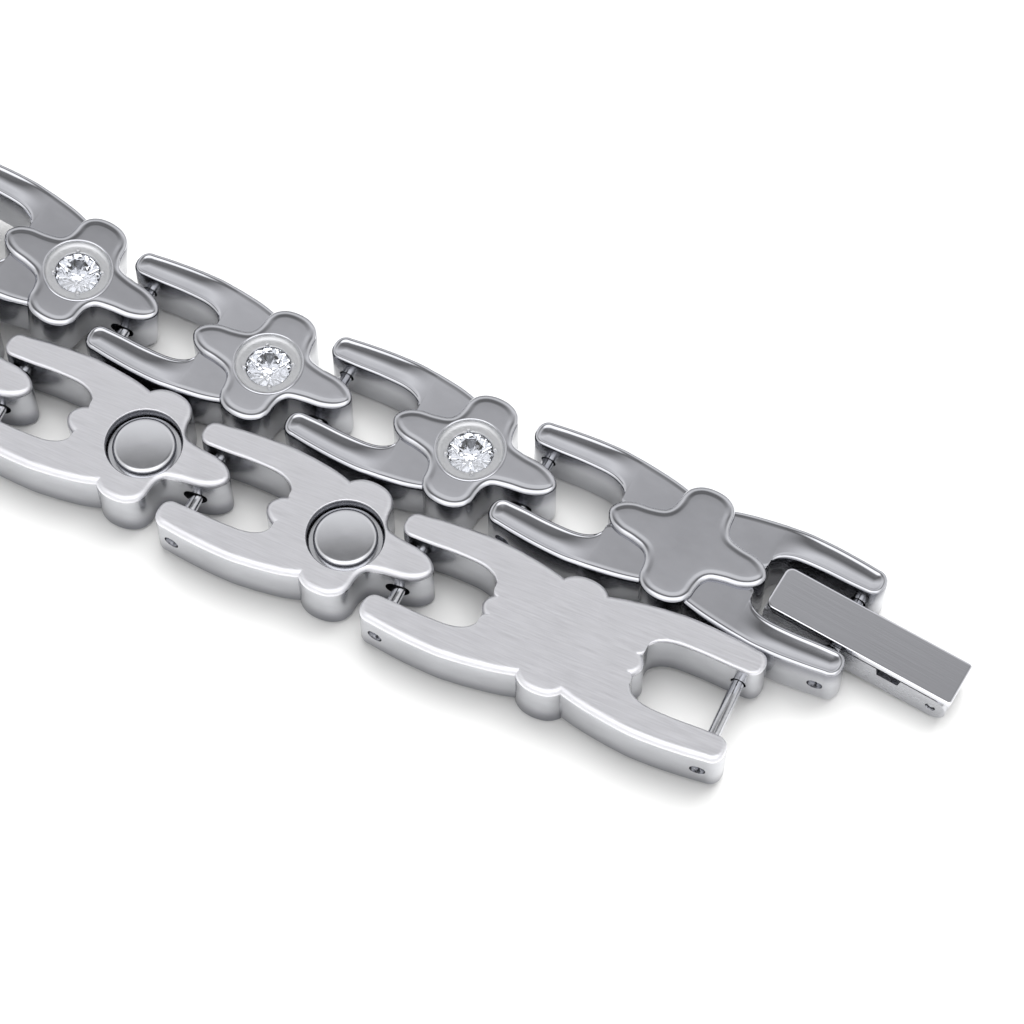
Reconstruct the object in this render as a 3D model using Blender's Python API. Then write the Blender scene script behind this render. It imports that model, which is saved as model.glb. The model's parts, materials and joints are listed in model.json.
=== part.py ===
"""Magnetic bracelet of steel star links, lying unclasped and doubled back.

The upper strand lies front up, the lower strand lies back up beside it, and the
links between them turn the chain over in an upright loop. Units are metres,
+Z is up and +X runs along the front-up strand towards the clasp.
"""
import math

import bmesh
import bpy
import numpy as np
from mathutils import Matrix, Vector

MM = 0.001
MERGE = 0.002                # mm, points closer than this become one after a cut
CUT_PAST = 1.0               # how far a cutter runs past the face that it opens
MITRE_LIMIT = 0.6            # least cosine when an outline is moved inwards at a corner
LOOP_PASSES = 30             # passes that bring the loop's end to its landing

# Driving sizes of a link in mm. Along runs from the fork pin to the tip pin, across over the width.
PITCH = 15.0                 # fork pin to tip pin of a star link
END_PITCH = 22.5             # pin to pin of an end link
ARM_THICK = 3.9              # height of the arms
STAR_RISE = 0.35             # height of the star's face above the arms
STAR_THICK = ARM_THICK + STAR_RISE
PIN_HEIGHT = 1.95            # pin axis above the flat back
STAR_CENTRE = 10.6           # fork pin to the middle of the star
FORK_TIP = 5.65              # star middle to the end of the tip on the fork side
PIN_TIP = 6.25               # star middle to the end of the slotted tip
END_TIP = 5.6                # star middle to a tip of an end link
RIM = 0.22                   # bevel of the star's front edge
BACK_RIM = 0.20              # bevel of the star's back edge
ARM_RIM = 0.34               # bevel of the arms, front and back

# Star outline: one quarter, from the crown of a side lobe to the end of a tip
STAR_QUARTER = (
    # along, across
    (0.00, 4.45),
    (0.85, 4.32),
    (1.50, 3.90),
    (1.82, 3.30),
    (1.90, 2.60),
    (2.06, 2.05),
    (2.44, 1.64),
    (3.30, 1.40),
    (4.40, 1.23),
    (5.25, 0.78),
)
QUARTER_TIP = 5.65           # tip length that the table is drawn for
TIP_ROOT = 2.60              # the tip starts here, and only the tip stretches

# Arm outline: inner and outer edge along the fork, measured from the fork pin
ARM_TABLE = (
    # along, inner, outer
    (-1.28, 2.90, 3.54),
    (-1.04, 2.52, 3.98),
    (-0.50, 2.33, 4.20),
    (0.80, 2.35, 4.40),
    (2.60, 2.42, 4.55),
    (4.40, 2.36, 4.60),
    (5.40, 2.04, 4.53),
    (5.92, 1.50, 4.49),
    (6.14, 0.70, 4.47),
    (7.60, 0.30, 4.26),
    (8.60, 0.30, 4.02),
    (9.50, 0.30, 3.72),
)

# Pockets, slots and small pieces in mm
CUP_RADIUS = 2.25            # shallow cup round the stone
CUP_DEPTH = 0.45
SEAT_RADIUS = 1.62           # hole that the stone sits in
SEAT_DEPTH = 1.75
STONE_RADIUS = 1.50
STONE_TABLE = 0.86
STONE_CROWN = 0.42
STONE_PAVILION = 1.15
STONE_GIRDLE = 3.72          # height of the stone's girdle above the back
POCKET_RADIUS = 2.60         # pocket of the magnet
POCKET_DEPTH = 1.30
MAGNET_RADIUS = 2.05
MAGNET_BEVEL = 0.22
MAGNET_FACE = 0.05           # how far the magnet's face lies below the back
MAGNET_SEAT = 1.18           # height of the magnet's inner side above the back
PIN_RADIUS = 0.45
PIN_HALF = 3.72              # half the length of a pin
PIN_SPLIT = 0.05             # half the width of the split
PIN_SPLIT_DEPTH = 0.26
SLOT_LONG = 1.24             # pin slot in the arms
SLOT_HIGH = 1.04
SLOT_REACH = (1.8, 5.0)      # across the width, from between the arms to outside them
TUNNEL_LONG = 1.90           # wide slot through a tip
TUNNEL_HIGH = 1.50
TUNNEL_HALF = 2.0            # half its cutter's length across the tip
TUNNEL_SHIFT = -0.12         # the slot lies a little towards the star

# Clasp sizes in mm. Its own frame has x along it from the end inside the fork, z from its underside.
CLASP_LONG = 13.4
CLASP_WIDE = 3.26
CLASP_WALL = 0.62
CLASP_FLOOR = 0.40
BASE_HIGH = 2.30
BASE_CHAMFER = 0.35          # lower edge of the end inside the fork
HINGE_RADIUS = 1.15          # round end of the base, about the hinge
TROUGH_END = 1.1             # the floor of the channel ends this far before the hinge
COVER_GAP = 0.10
COVER_THICK = 0.48
COVER_RIM = 0.10
COVER_CORNER = 0.45          # round corners inside the fork
COVER_CORNER_CUT = 0.13      # how far the middle of such a corner lies inside the square one
COVER_END_CORNER = 0.2       # small corners at the hinge end
CLASP_PIN = (5.00, 1.50)     # where the fork pin goes through the base
CLASP_PIN_HOLE = 0.62
MOUTH_MIDDLE = 9.05          # notch for the pin of the free end
MOUTH_TOP = 2.10
MOUTH_BOTTOM = 1.50
MOUTH_DEPTH = 0.72
HINGE_PIN_RADIUS = 0.28
HINGE_PIN_SHORT = 0.1        # the pin ends this far inside the base's sides
HINGE_HOLE = 0.40
TONGUE_WIDE = 1.40
TONGUE_RADIUS = 0.66
TONGUE_ROOT = 0.2            # how far the tongue runs up into the plate
CLASP_YAW = -3.0             # degrees, seen from above
CLASP_PITCH = 3.0            # degrees, its far end down

# Finishes: colour, roughness, metallic
POLISHED = ((0.36, 0.37, 0.40), 0.18, 1.0)
SATIN = ((0.56, 0.56, 0.59), 0.36, 1.0)
CRYSTAL = ((0.90, 0.91, 0.93), 0.05, 0.0)
PLATED = ((0.42, 0.42, 0.45), 0.22, 1.0)

# Layout in mm and degrees. Yaw is seen from above, slide is how far a tip sits off the middle of
# the fork that holds it, along that fork's own width. The front strand starts at its end link.
END_FORK = (29.95, 0.45)     # left fork of the clasp's end link
END_YAW = -1.55
FRONT_TABLE = (
    # heading in side view (180 is flat, smaller rises), yaw, slide in the fork before
    (180.0, -1.2, -0.33),
    (179.2, -1.2, -0.35),
    (173.0, -2.6, 0.09),
)
LOOP_HEADINGS = (137.0, 160.0)  # the next two links, over the top of the loop
LOOP_SLIDE = -0.30           # in every fork of the loop, towards the back strand
LANDING_HEADING = 358.0      # the last link of the loop, its fork a little off the floor
BACK_FORK = (-4.50, -9.04)   # fork of the second flat back link
BACK_YAW = 1.4
BACK_SLIDE = -0.62


def star_outline(left, right):
    """Points of a star outline, anticlockwise, with the given tip lengths."""
    outline = []
    for x_sign, y_sign, tip, flip in ((1, 1, right, False), (1, -1, right, True),
                                      (-1, -1, left, False), (-1, 1, left, True)):
        grow = (tip - TIP_ROOT) / (QUARTER_TIP - TIP_ROOT)
        side = []
        for along, across in STAR_QUARTER:
            if along > TIP_ROOT:
                along = TIP_ROOT + (along - TIP_ROOT) * grow
            side.append((x_sign * along, y_sign * across))
        side.append((x_sign * tip, 0.0))
        if flip:
            side.reverse()
        outline.extend(side[:-1])
    outline.reverse()
    return np.array(outline)


def arm_outline(pin_at, direction, side):
    """Points of one arm, anticlockwise. It runs from its pin in the given direction."""
    inner = [(pin_at + direction * along, side * low) for along, low, high in ARM_TABLE]
    outer = [(pin_at + direction * along, side * high) for along, low, high in ARM_TABLE]
    points = np.array(inner + outer[::-1])
    if signed_area(points) < 0.0:
        points = points[::-1]
    return points


def signed_area(points):
    """Area inside a closed outline, positive when it runs anticlockwise."""
    x_next = np.roll(points[:, 0], -1)
    y_next = np.roll(points[:, 1], -1)
    return 0.5 * float(np.sum(points[:, 0] * y_next - x_next * points[:, 1]))


def inset(points, width):
    """Move a closed anticlockwise outline inwards by a width."""
    before = points - np.roll(points, 1, axis=0)
    after = np.roll(points, -1, axis=0) - points
    before /= np.linalg.norm(before, axis=1)[:, None]
    after /= np.linalg.norm(after, axis=1)[:, None]
    normal = np.stack([-(before[:, 1] + after[:, 1]), before[:, 0] + after[:, 0]], axis=1)
    normal /= np.linalg.norm(normal, axis=1)[:, None]
    cosine = -normal[:, 0] * after[:, 1] + normal[:, 1] * after[:, 0]
    return points + normal * (width / np.maximum(cosine, MITRE_LIMIT))[:, None]


def stack_mesh(name, rings):
    """Closed mesh through rings of equal point count, from bottom to top. Each is (outline, height)."""
    mesh = bmesh.new()
    levels = []
    for outline, height in rings:
        levels.append([mesh.verts.new((x * MM, y * MM, height * MM)) for x, y in outline])
    count = len(levels[0])
    mesh.faces.new(levels[0][::-1])
    mesh.faces.new(levels[-1])
    for low, high in zip(levels[:-1], levels[1:]):
        for i in range(count):
            j = (i + 1) % count
            mesh.faces.new((low[i], low[j], high[j], high[i]))
    data = bpy.data.meshes.new(name)
    mesh.to_mesh(data)
    mesh.free()
    return data


def bevelled(outline, low, high, low_rim, high_rim):
    """Rings of a plate with bevelled lower and upper edges."""
    rings = []
    if low_rim > 0.0:
        rings.append((inset(outline, low_rim), low))
        rings.append((outline, low + low_rim))
    else:
        rings.append((outline, low))
    if high_rim > 0.0:
        rings.append((outline, high - high_rim))
        rings.append((inset(outline, high_rim), high))
    else:
        rings.append((outline, high))
    return rings


def circle(radius, sides, centre=(0.0, 0.0), turn=0.0):
    """Points of a regular polygon, anticlockwise."""
    angles = turn + np.arange(sides) * 2.0 * math.pi / sides
    return np.stack([centre[0] + radius * np.cos(angles), centre[1] + radius * np.sin(angles)], axis=1)


def stadium(long, high, centre):
    """Points of a slot with round ends, anticlockwise."""
    radius = high / 2.0
    reach = max(long / 2.0 - radius, 0.0)
    points = []
    for middle, first in ((reach, -90.0), (-reach, 90.0)):
        for step in range(5):
            angle = math.radians(first + 45.0 * step)
            points.append((centre[0] + middle + radius * math.cos(angle),
                           centre[1] + radius * math.sin(angle)))
    return np.array(points)


def across_mesh(name, outline, low, high):
    """Prism whose outline lies in the side view (along, height) and which runs across the width."""
    data = stack_mesh(name, [(outline, low), (outline, high)])
    data.transform(Matrix(((1, 0, 0, 0), (0, 0, -1, 0), (0, 1, 0, 0), (0, 0, 0, 1))))
    return data


def combine(name, base, joined=(), cut=()):
    """One mesh from a base, the meshes joined to it and the meshes cut from it."""
    made = []

    def temporary(data):
        item = bpy.data.objects.new("temporary", data)
        bpy.context.scene.collection.objects.link(item)
        made.append(item)
        return item

    body = temporary(base)
    for kind, parts in (("UNION", joined), ("DIFFERENCE", cut)):
        for data in parts:
            tool = temporary(data)
            step = body.modifiers.new(kind.lower(), "BOOLEAN")
            step.operation = kind
            step.solver = "EXACT"
            step.object = tool
    bpy.context.view_layer.update()
    evaluated = body.evaluated_get(bpy.context.evaluated_depsgraph_get())
    result = bpy.data.meshes.new_from_object(evaluated)
    result.name = name
    for item in made:
        data = item.data
        bpy.data.objects.remove(item)
        bpy.data.meshes.remove(data)
    tidy = bmesh.new()
    tidy.from_mesh(result)
    bmesh.ops.remove_doubles(tidy, verts=tidy.verts, dist=MERGE * MM)
    bmesh.ops.dissolve_degenerate(tidy, edges=tidy.edges, dist=MERGE * MM)
    bmesh.ops.triangulate(tidy, faces=tidy.faces)
    tidy.to_mesh(result)
    tidy.free()
    return result


def shifted(points, along):
    """Outline moved along the link."""
    return points + np.array((along, 0.0))


def link_mesh(name, centre, left_tip, right_tip, forks, tunnels, jewelled):
    """One link in its own frame: back at height 0, front up, pin axes at PIN_HEIGHT.

    forks is a list of (pin position, direction of the arms), tunnels a list of pin positions.
    """
    star = shifted(star_outline(left_tip, right_tip), centre)
    base = stack_mesh("star", bevelled(star, 0.0, STAR_THICK, BACK_RIM, RIM))
    joined = []
    cut = []
    for pin_at, direction in forks:
        for side in (-1, 1):
            arm = arm_outline(pin_at, direction, side)
            joined.append(stack_mesh("arm", bevelled(arm, 0.0, ARM_THICK, ARM_RIM, ARM_RIM)))
        slot = stadium(SLOT_LONG, SLOT_HIGH, (pin_at, PIN_HEIGHT))
        near, far = SLOT_REACH
        for low, high in ((-far, -near), (near, far)):
            cut.append(across_mesh("slot", slot, low, high))
    for pin_at, shift in tunnels:
        tunnel = stadium(TUNNEL_LONG, TUNNEL_HIGH, (pin_at + shift, PIN_HEIGHT))
        cut.append(across_mesh("tunnel", tunnel, -TUNNEL_HALF, TUNNEL_HALF))
    if jewelled:
        middle = (centre, 0.0)
        cup = circle(CUP_RADIUS, 14, middle)
        seat = circle(SEAT_RADIUS, 14, middle)
        pocket = circle(POCKET_RADIUS, 16, middle)
        above = STAR_THICK + CUT_PAST
        cut.append(stack_mesh("cup", [(cup, STAR_THICK - CUP_DEPTH), (cup, above)]))
        cut.append(stack_mesh("seat", [(seat, STAR_THICK - SEAT_DEPTH), (seat, above)]))
        cut.append(stack_mesh("pocket", [(pocket, -CUT_PAST), (pocket, POCKET_DEPTH)]))
    return combine(name, base, joined, cut)


def stone_mesh():
    """Round cut stone about its own axis: eight-sided table, crown, girdle and pavilion."""
    mesh = bmesh.new()
    table = [mesh.verts.new((x * MM, y * MM, STONE_CROWN * MM)) for x, y in circle(STONE_TABLE, 8)]
    girdle = [mesh.verts.new((x * MM, y * MM, 0.0)) for x, y in circle(STONE_RADIUS, 16)]
    culet = mesh.verts.new((0.0, 0.0, -STONE_PAVILION * MM))
    mesh.faces.new(table)
    for i in range(8):
        j = (i + 1) % 8
        middle = girdle[2 * i + 1]
        mesh.faces.new((girdle[2 * i], middle, table[i]))
        mesh.faces.new((middle, table[j], table[i]))
        mesh.faces.new((middle, girdle[(2 * i + 2) % 16], table[j]))
    for i in range(16):
        mesh.faces.new((girdle[(i + 1) % 16], girdle[i], culet))
    data = bpy.data.meshes.new("stone")
    mesh.to_mesh(data)
    mesh.free()
    return data


def magnet_mesh():
    """Round magnet with a bevelled face, from its face near the back up to its seat."""
    rim = circle(MAGNET_RADIUS, 16)
    face = circle(MAGNET_RADIUS - MAGNET_BEVEL, 16)
    return stack_mesh("magnet", [(face, MAGNET_FACE), (rim, MAGNET_FACE + MAGNET_BEVEL),
                                 (rim, MAGNET_SEAT)])


def pin_outline():
    """Side view of a split pin: a round with a groove above and below, where the wires part."""
    points = []
    for first in (-90.0, 90.0):
        sign = 1.0 if first < 0.0 else -1.0
        start = math.degrees(math.asin(PIN_SPLIT / PIN_RADIUS))
        points.append((sign * PIN_SPLIT, -sign * (PIN_RADIUS - PIN_SPLIT_DEPTH)))
        for step in range(5):
            angle = math.radians(first + start + (180.0 - 2.0 * start) * step / 4.0)
            points.append((PIN_RADIUS * math.cos(angle), PIN_RADIUS * math.sin(angle)))
        points.append((sign * PIN_SPLIT, sign * (PIN_RADIUS - PIN_SPLIT_DEPTH)))
    return np.array(points)


def clasp_base_mesh():
    """Lower half of the clasp: a channel with a round hinge end, a mouth and a hole for its pin."""
    hinge_x = CLASP_LONG - HINGE_RADIUS
    reach = HINGE_RADIUS - COVER_GAP
    side = [(0.0, BASE_CHAMFER), (BASE_CHAMFER, 0.0), (hinge_x, 0.0)]
    for step in range(1, 8):
        angle = math.radians(-90.0 + 22.5 * step)
        side.append((hinge_x + reach * math.cos(angle), HINGE_RADIUS + HINGE_RADIUS * math.sin(angle)))
    side += [(hinge_x, BASE_HIGH), (0.0, BASE_HIGH)]
    half = CLASP_WIDE / 2.0
    inner = half - CLASP_WALL
    beyond = half + CUT_PAST
    above = BASE_HIGH + CUT_PAST
    base = across_mesh("base", np.array(side), -half, half)
    trough_end = hinge_x - TROUGH_END
    trough = np.array(((CLASP_WALL, CLASP_FLOOR), (trough_end, CLASP_FLOOR), (trough_end, -CUT_PAST),
                       (CLASP_LONG + CUT_PAST, -CUT_PAST), (CLASP_LONG + CUT_PAST, above),
                       (CLASP_WALL, above)))
    mouth = np.array(((MOUTH_MIDDLE - MOUTH_BOTTOM / 2.0, BASE_HIGH - MOUTH_DEPTH),
                      (MOUTH_MIDDLE + MOUTH_BOTTOM / 2.0, BASE_HIGH - MOUTH_DEPTH),
                      (MOUTH_MIDDLE + MOUTH_TOP / 2.0, above),
                      (MOUTH_MIDDLE - MOUTH_TOP / 2.0, above)))
    hinge_hole = circle(HINGE_HOLE, 8, (hinge_x, HINGE_RADIUS))
    cut = [across_mesh("trough", trough, -inner, inner),
           across_mesh("mouth", mouth, -beyond, beyond),
           across_mesh("pin_hole", circle(CLASP_PIN_HOLE, 10, CLASP_PIN), -beyond, beyond),
           across_mesh("hinge_hole", hinge_hole, -beyond, beyond)]
    return combine("clasp_base", base, (), cut)


def clasp_cover_mesh():
    """Cover of the clasp about its hinge axis: a plate and a tongue round the hinge pin."""
    hinge_x = CLASP_LONG - HINGE_RADIUS
    low = BASE_HIGH + COVER_GAP - HINGE_RADIUS
    half = CLASP_WIDE / 2.0
    lower = []
    for x, y in ((-hinge_x, half - COVER_CORNER), (-hinge_x + COVER_CORNER_CUT, half - COVER_CORNER_CUT),
                 (-hinge_x + COVER_CORNER, half), (HINGE_RADIUS - COVER_END_CORNER, half),
                 (HINGE_RADIUS, half - COVER_END_CORNER)):
        lower.append((x, -y))
    plate = np.array(lower + [(x, -y) for x, y in reversed(lower)])
    base = stack_mesh("plate", bevelled(plate, low, low + COVER_THICK, 0.0, COVER_RIM))
    tongue = []
    for step in range(5):
        angle = math.radians(180.0 + 45.0 * step)
        tongue.append((TONGUE_RADIUS * math.cos(angle), TONGUE_RADIUS * math.sin(angle)))
    tongue += [(TONGUE_RADIUS, low + TONGUE_ROOT), (-TONGUE_RADIUS, low + TONGUE_ROOT)]
    joined = [across_mesh("tongue", np.array(tongue), -TONGUE_WIDE / 2.0, TONGUE_WIDE / 2.0)]
    cut = [across_mesh("hole", circle(HINGE_HOLE, 8), -half, half)]
    return combine("clasp_cover", base, joined, cut)


def material(name, colour, roughness, metallic):
    """Principled material with the colour, roughness and metallic value of the piece."""
    made = bpy.data.materials.new(name)
    made.use_nodes = True
    shader = made.node_tree.nodes["Principled BSDF"]
    shader.inputs["Base Color"].default_value = (*colour, 1.0)
    shader.inputs["Roughness"].default_value = roughness
    shader.inputs["Metallic"].default_value = metallic
    return made


def frame_matrix(origin, along, width, front):
    """Placement of a piece from its origin in mm and its three axes."""
    placed = Matrix((along, width, front)).transposed().to_4x4()
    placed.translation = origin * MM
    return placed


def direction(heading, drift):
    """Unit vector along the chain from its heading in side view and its drift to +Y, in degrees."""
    turn = math.radians(heading)
    side = math.radians(drift)
    return Vector((math.cos(side) * math.cos(turn), math.sin(side), math.cos(side) * math.sin(turn)))


def link_axes(name, heading, drift):
    """Direction from fork to tip, width and front normal of a link, as three unit vectors."""
    step = direction(heading, drift)
    front = Vector((math.sin(math.radians(heading)), 0.0, -math.cos(math.radians(heading))))
    along = step if name.startswith("back") else -step
    return along, front.cross(along), front


def flat_axes(yaw, front):
    """Axes of a flat link with the given yaw, front up (1) or down (-1)."""
    turn = math.radians(yaw)
    along = Vector((math.cos(turn), math.sin(turn), 0.0))
    normal = Vector((0.0, 0.0, front))
    return along, normal.cross(along), normal


def loop_links(start, start_axes, turn_middle, turn_next, drift):
    """Links from the last visible front link to the landing of the loop.

    start is the fork that the loop leaves. Returns the links as (fork or middle, axes) and
    where the last tip ends.
    """
    made = []
    pin = start + LOOP_SLIDE * start_axes[1]
    for heading in LOOP_HEADINGS:
        axes = link_axes("front", heading, drift)
        fork = pin - PITCH * axes[0]
        made.append((fork, axes))
        pin = fork + LOOP_SLIDE * axes[1]
    axes = link_axes("back", turn_middle, drift)
    half = PITCH - STAR_CENTRE
    made.append((pin + half * axes[0], axes))
    pin = pin + 2.0 * half * axes[0]
    for heading in (turn_next, LANDING_HEADING):
        axes = link_axes("back", heading, drift)
        fork = pin - LOOP_SLIDE * axes[1]
        made.append((fork, axes))
        pin = fork + PITCH * axes[0]
    return made, pin


def close_loop(start, start_axes, landing):
    """Turn the middle link and the next one until the loop lands where the back strand begins.

    The two headings follow from the law of cosines in side view, the common drift from the
    distance across, and each pass takes up what the one before was off.
    """
    aim = landing.copy()
    drift = 0.0
    middle_pitch = 2.0 * (PITCH - STAR_CENTRE)
    for _ in range(LOOP_PASSES):
        flat = math.cos(math.radians(drift))
        pin = start.copy()
        for heading in LOOP_HEADINGS:
            pin += PITCH * direction(heading, drift)
        landed = aim - PITCH * direction(LANDING_HEADING, drift)
        gap_x = landed.x - pin.x
        gap_z = landed.z - pin.z
        first, second, reach = middle_pitch * flat, PITCH * flat, math.hypot(gap_x, gap_z)
        corner = math.acos((first * first + reach * reach - second * second) / (2.0 * first * reach))
        angle = math.atan2(gap_z, gap_x) - corner
        rest = math.atan2(gap_z - first * math.sin(angle), gap_x - first * math.cos(angle))
        made, end = loop_links(start, start_axes, math.degrees(angle), math.degrees(rest), drift)
        miss = landing - end
        aim += Vector((miss.x, 0.0, miss.z))
        drift += math.degrees(miss.y / (4.0 * PITCH + middle_pitch))
    return made


def chain_links():
    """All links from the clasp end to the free end, as (name, fork or middle at pin height, axes)."""
    back_pin = STAR_THICK - PIN_HEIGHT
    axes = flat_axes(END_YAW, 1.0)
    fork = Vector((*END_FORK, PIN_HEIGHT))
    links = [("end_link_clasp", fork, axes)]
    for number, (heading, yaw, slide) in enumerate(FRONT_TABLE, 1):
        pin = fork + slide * axes[1]
        axes = link_axes("front", heading, -yaw)
        fork = pin - PITCH * axes[0]
        links.append(("star_link_%d" % number, fork, axes))

    back_axes = flat_axes(BACK_YAW, -1.0)
    next_fork = Vector((*BACK_FORK, back_pin))
    tip = next_fork + BACK_SLIDE * back_axes[1]
    first_back = tip - PITCH * back_axes[0]
    landing = first_back + LOOP_SLIDE * back_axes[1]
    names = ("star_link_4", "star_link_5", "middle_link", "star_link_6", "star_link_7")
    for name, (place, turned) in zip(names, close_loop(fork, axes, landing)):
        links.append((name, place, turned))
    fork = first_back
    for name in ("star_link_8", "star_link_9", "star_link_10", "end_link_free"):
        links.append((name, fork, back_axes))
        fork = fork + PITCH * back_axes[0] - BACK_SLIDE * back_axes[1]
    return links


def build():
    """Make every piece and place it."""
    for item in list(bpy.data.objects):
        bpy.data.objects.remove(item)

    steel = material("polished_steel", *POLISHED)
    satin = material("satin_steel", *SATIN)
    crystal = material("clear_stone", *CRYSTAL)
    plated = material("magnet_plating", *PLATED)

    star = link_mesh("star_link", STAR_CENTRE, FORK_TIP, PIN_TIP, [(0.0, 1)], [(PITCH, TUNNEL_SHIFT)], True)
    half = PITCH - STAR_CENTRE
    middle = link_mesh("middle_link", 0.0, PIN_TIP, PIN_TIP, [],
                       [(half, TUNNEL_SHIFT), (-half, -TUNNEL_SHIFT)], True)
    end = link_mesh("end_link", END_PITCH / 2.0, END_TIP, END_TIP, [(0.0, 1), (END_PITCH, -1)], [], False)
    stone = stone_mesh()
    magnet = magnet_mesh()
    pin = across_mesh("pin", pin_outline(), -PIN_HALF, PIN_HALF)

    root = bpy.data.objects.new("bracelet", None)
    bpy.context.scene.collection.objects.link(root)

    def place(name, data, finish, matrix, parent=root):
        data.materials.clear()
        data.materials.append(finish)
        item = bpy.data.objects.new(name, data)
        bpy.context.scene.collection.objects.link(item)
        item.parent = parent
        item.matrix_world = matrix
        return item

    to_back = Matrix.Translation(Vector((0.0, 0.0, -PIN_HEIGHT)) * MM)
    at_pin = Matrix.Translation(Vector((0.0, 0.0, PIN_HEIGHT)) * MM)
    at_far_pin = Matrix.Translation(Vector((END_PITCH, 0.0, PIN_HEIGHT)) * MM)
    jewel = 0
    for name, origin, (along, width, front) in chain_links():
        matrix = frame_matrix(origin, along, width, front) @ to_back
        data = end if name.startswith("end") else middle if name == "middle_link" else star
        place(name, data, steel, matrix)
        if data is not end:
            jewel += 1
            centre = 0.0 if data is middle else STAR_CENTRE
            at_stone = Matrix.Translation(Vector((centre, 0.0, STONE_GIRDLE)) * MM)
            at_magnet = Matrix.Translation(Vector((centre, 0.0, 0.0)) * MM)
            place("stone_%d" % jewel, stone, crystal, matrix @ at_stone)
            place("magnet_%d" % jewel, magnet, plated, matrix @ at_magnet)
        if data is not middle:
            place("pin_%s" % name, pin, satin, matrix @ at_pin)
        if name == "end_link_clasp":
            clasp_fork = matrix @ at_far_pin
            place("pin_clasp", pin, satin, clasp_fork)
        if name == "end_link_free":
            place("pin_free_end", pin, satin, matrix @ at_far_pin)

    yawed = Matrix.Rotation(math.radians(CLASP_YAW), 4, "Z")
    pitched = Matrix.Rotation(math.radians(CLASP_PITCH), 4, "Y")
    own = Matrix.Translation(Vector((-CLASP_PIN[0], 0.0, -CLASP_PIN[1])) * MM)
    clasp = clasp_fork @ yawed @ pitched @ own
    at_hinge = clasp @ Matrix.Translation(Vector((CLASP_LONG - HINGE_RADIUS, 0.0, HINGE_RADIUS)) * MM)
    place("clasp_base", clasp_base_mesh(), steel, clasp)
    place("clasp_cover", clasp_cover_mesh(), steel, at_hinge)
    hinge_half = CLASP_WIDE / 2.0 - HINGE_PIN_SHORT
    hinge_pin = across_mesh("hinge_pin", circle(HINGE_PIN_RADIUS, 8), -hinge_half, hinge_half)
    place("clasp_hinge_pin", hinge_pin, satin, at_hinge)
    centre_on_floor(root)


def centre_on_floor(root):
    """Move the whole bracelet so that its box is centred over the origin and stands on the floor."""
    bpy.context.view_layer.update()
    corners = []
    for item in root.children_recursive:
        corners.append(np.array([item.matrix_world @ vertex.co for vertex in item.data.vertices]))
    corners = np.concatenate(corners)
    low, high = corners.min(axis=0), corners.max(axis=0)
    root.location = (-(low[0] + high[0]) / 2.0, -(low[1] + high[1]) / 2.0, -low[2])
    bpy.context.view_layer.update()


build()
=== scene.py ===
import json
import logging
import math
from collections.abc import Iterable, Sequence
from dataclasses import dataclass, field
from enum import Enum

import bmesh
import bpy
import numpy as np
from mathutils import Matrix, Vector


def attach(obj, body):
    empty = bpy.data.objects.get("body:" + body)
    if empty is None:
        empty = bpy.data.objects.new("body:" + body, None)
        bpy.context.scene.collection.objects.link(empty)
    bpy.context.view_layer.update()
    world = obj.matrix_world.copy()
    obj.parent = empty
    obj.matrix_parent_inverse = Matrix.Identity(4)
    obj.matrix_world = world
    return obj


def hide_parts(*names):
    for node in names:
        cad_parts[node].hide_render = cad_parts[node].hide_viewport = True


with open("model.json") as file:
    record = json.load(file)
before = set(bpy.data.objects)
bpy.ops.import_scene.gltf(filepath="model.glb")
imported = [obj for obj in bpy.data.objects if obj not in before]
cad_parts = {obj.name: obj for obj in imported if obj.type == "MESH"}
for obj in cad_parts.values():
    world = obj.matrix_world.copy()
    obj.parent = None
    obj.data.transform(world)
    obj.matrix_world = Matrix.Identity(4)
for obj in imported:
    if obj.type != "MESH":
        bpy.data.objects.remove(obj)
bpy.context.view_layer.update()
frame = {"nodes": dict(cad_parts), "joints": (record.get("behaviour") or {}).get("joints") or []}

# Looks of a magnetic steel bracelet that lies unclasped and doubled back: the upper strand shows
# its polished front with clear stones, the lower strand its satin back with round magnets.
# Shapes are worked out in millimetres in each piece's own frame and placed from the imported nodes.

MM = 0.001
BODY = "bracelet"
COVER_BODY = "cover"
MERGE = 0.0015               # mm, points closer than this become one
SHARP_ANGLE = 34.0           # degrees, a sharper edge than this stays an edge
GRAIN_DIP = 0.92             # brightness of the darkest grain over the bare metal's
BUMP_HEIGHT = 0.00002        # m, how high the grain's bump stands
GLOSS_RANGE = (0.3, 0.7)     # values of the grain's noise between which the gloss changes
TONE_RANGE = (0.35, 0.65)    # and between which the tone does

log = logging.getLogger("bracelet")


class Region(Enum):
    """Which part of a link a face belongs to, and with it the finish that it gets."""

    FRONT = 0
    WALL = 1
    BACK = 2
    CUP = 3
    POCKET = 4


class LinkKind(Enum):
    """The three forms of link in the chain."""

    STAR = "star"
    MIDDLE = "middle"
    END = "end"


@dataclass
class Shape:
    """A mesh in millimetres, in a piece's own frame."""

    points: np.ndarray
    faces: list[list[int]]

    def moved(self, shift: Sequence[float]) -> "Shape":
        """Return the shape shifted by a vector in millimetres."""
        return Shape(self.points + np.asarray(shift), self.faces)


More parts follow.
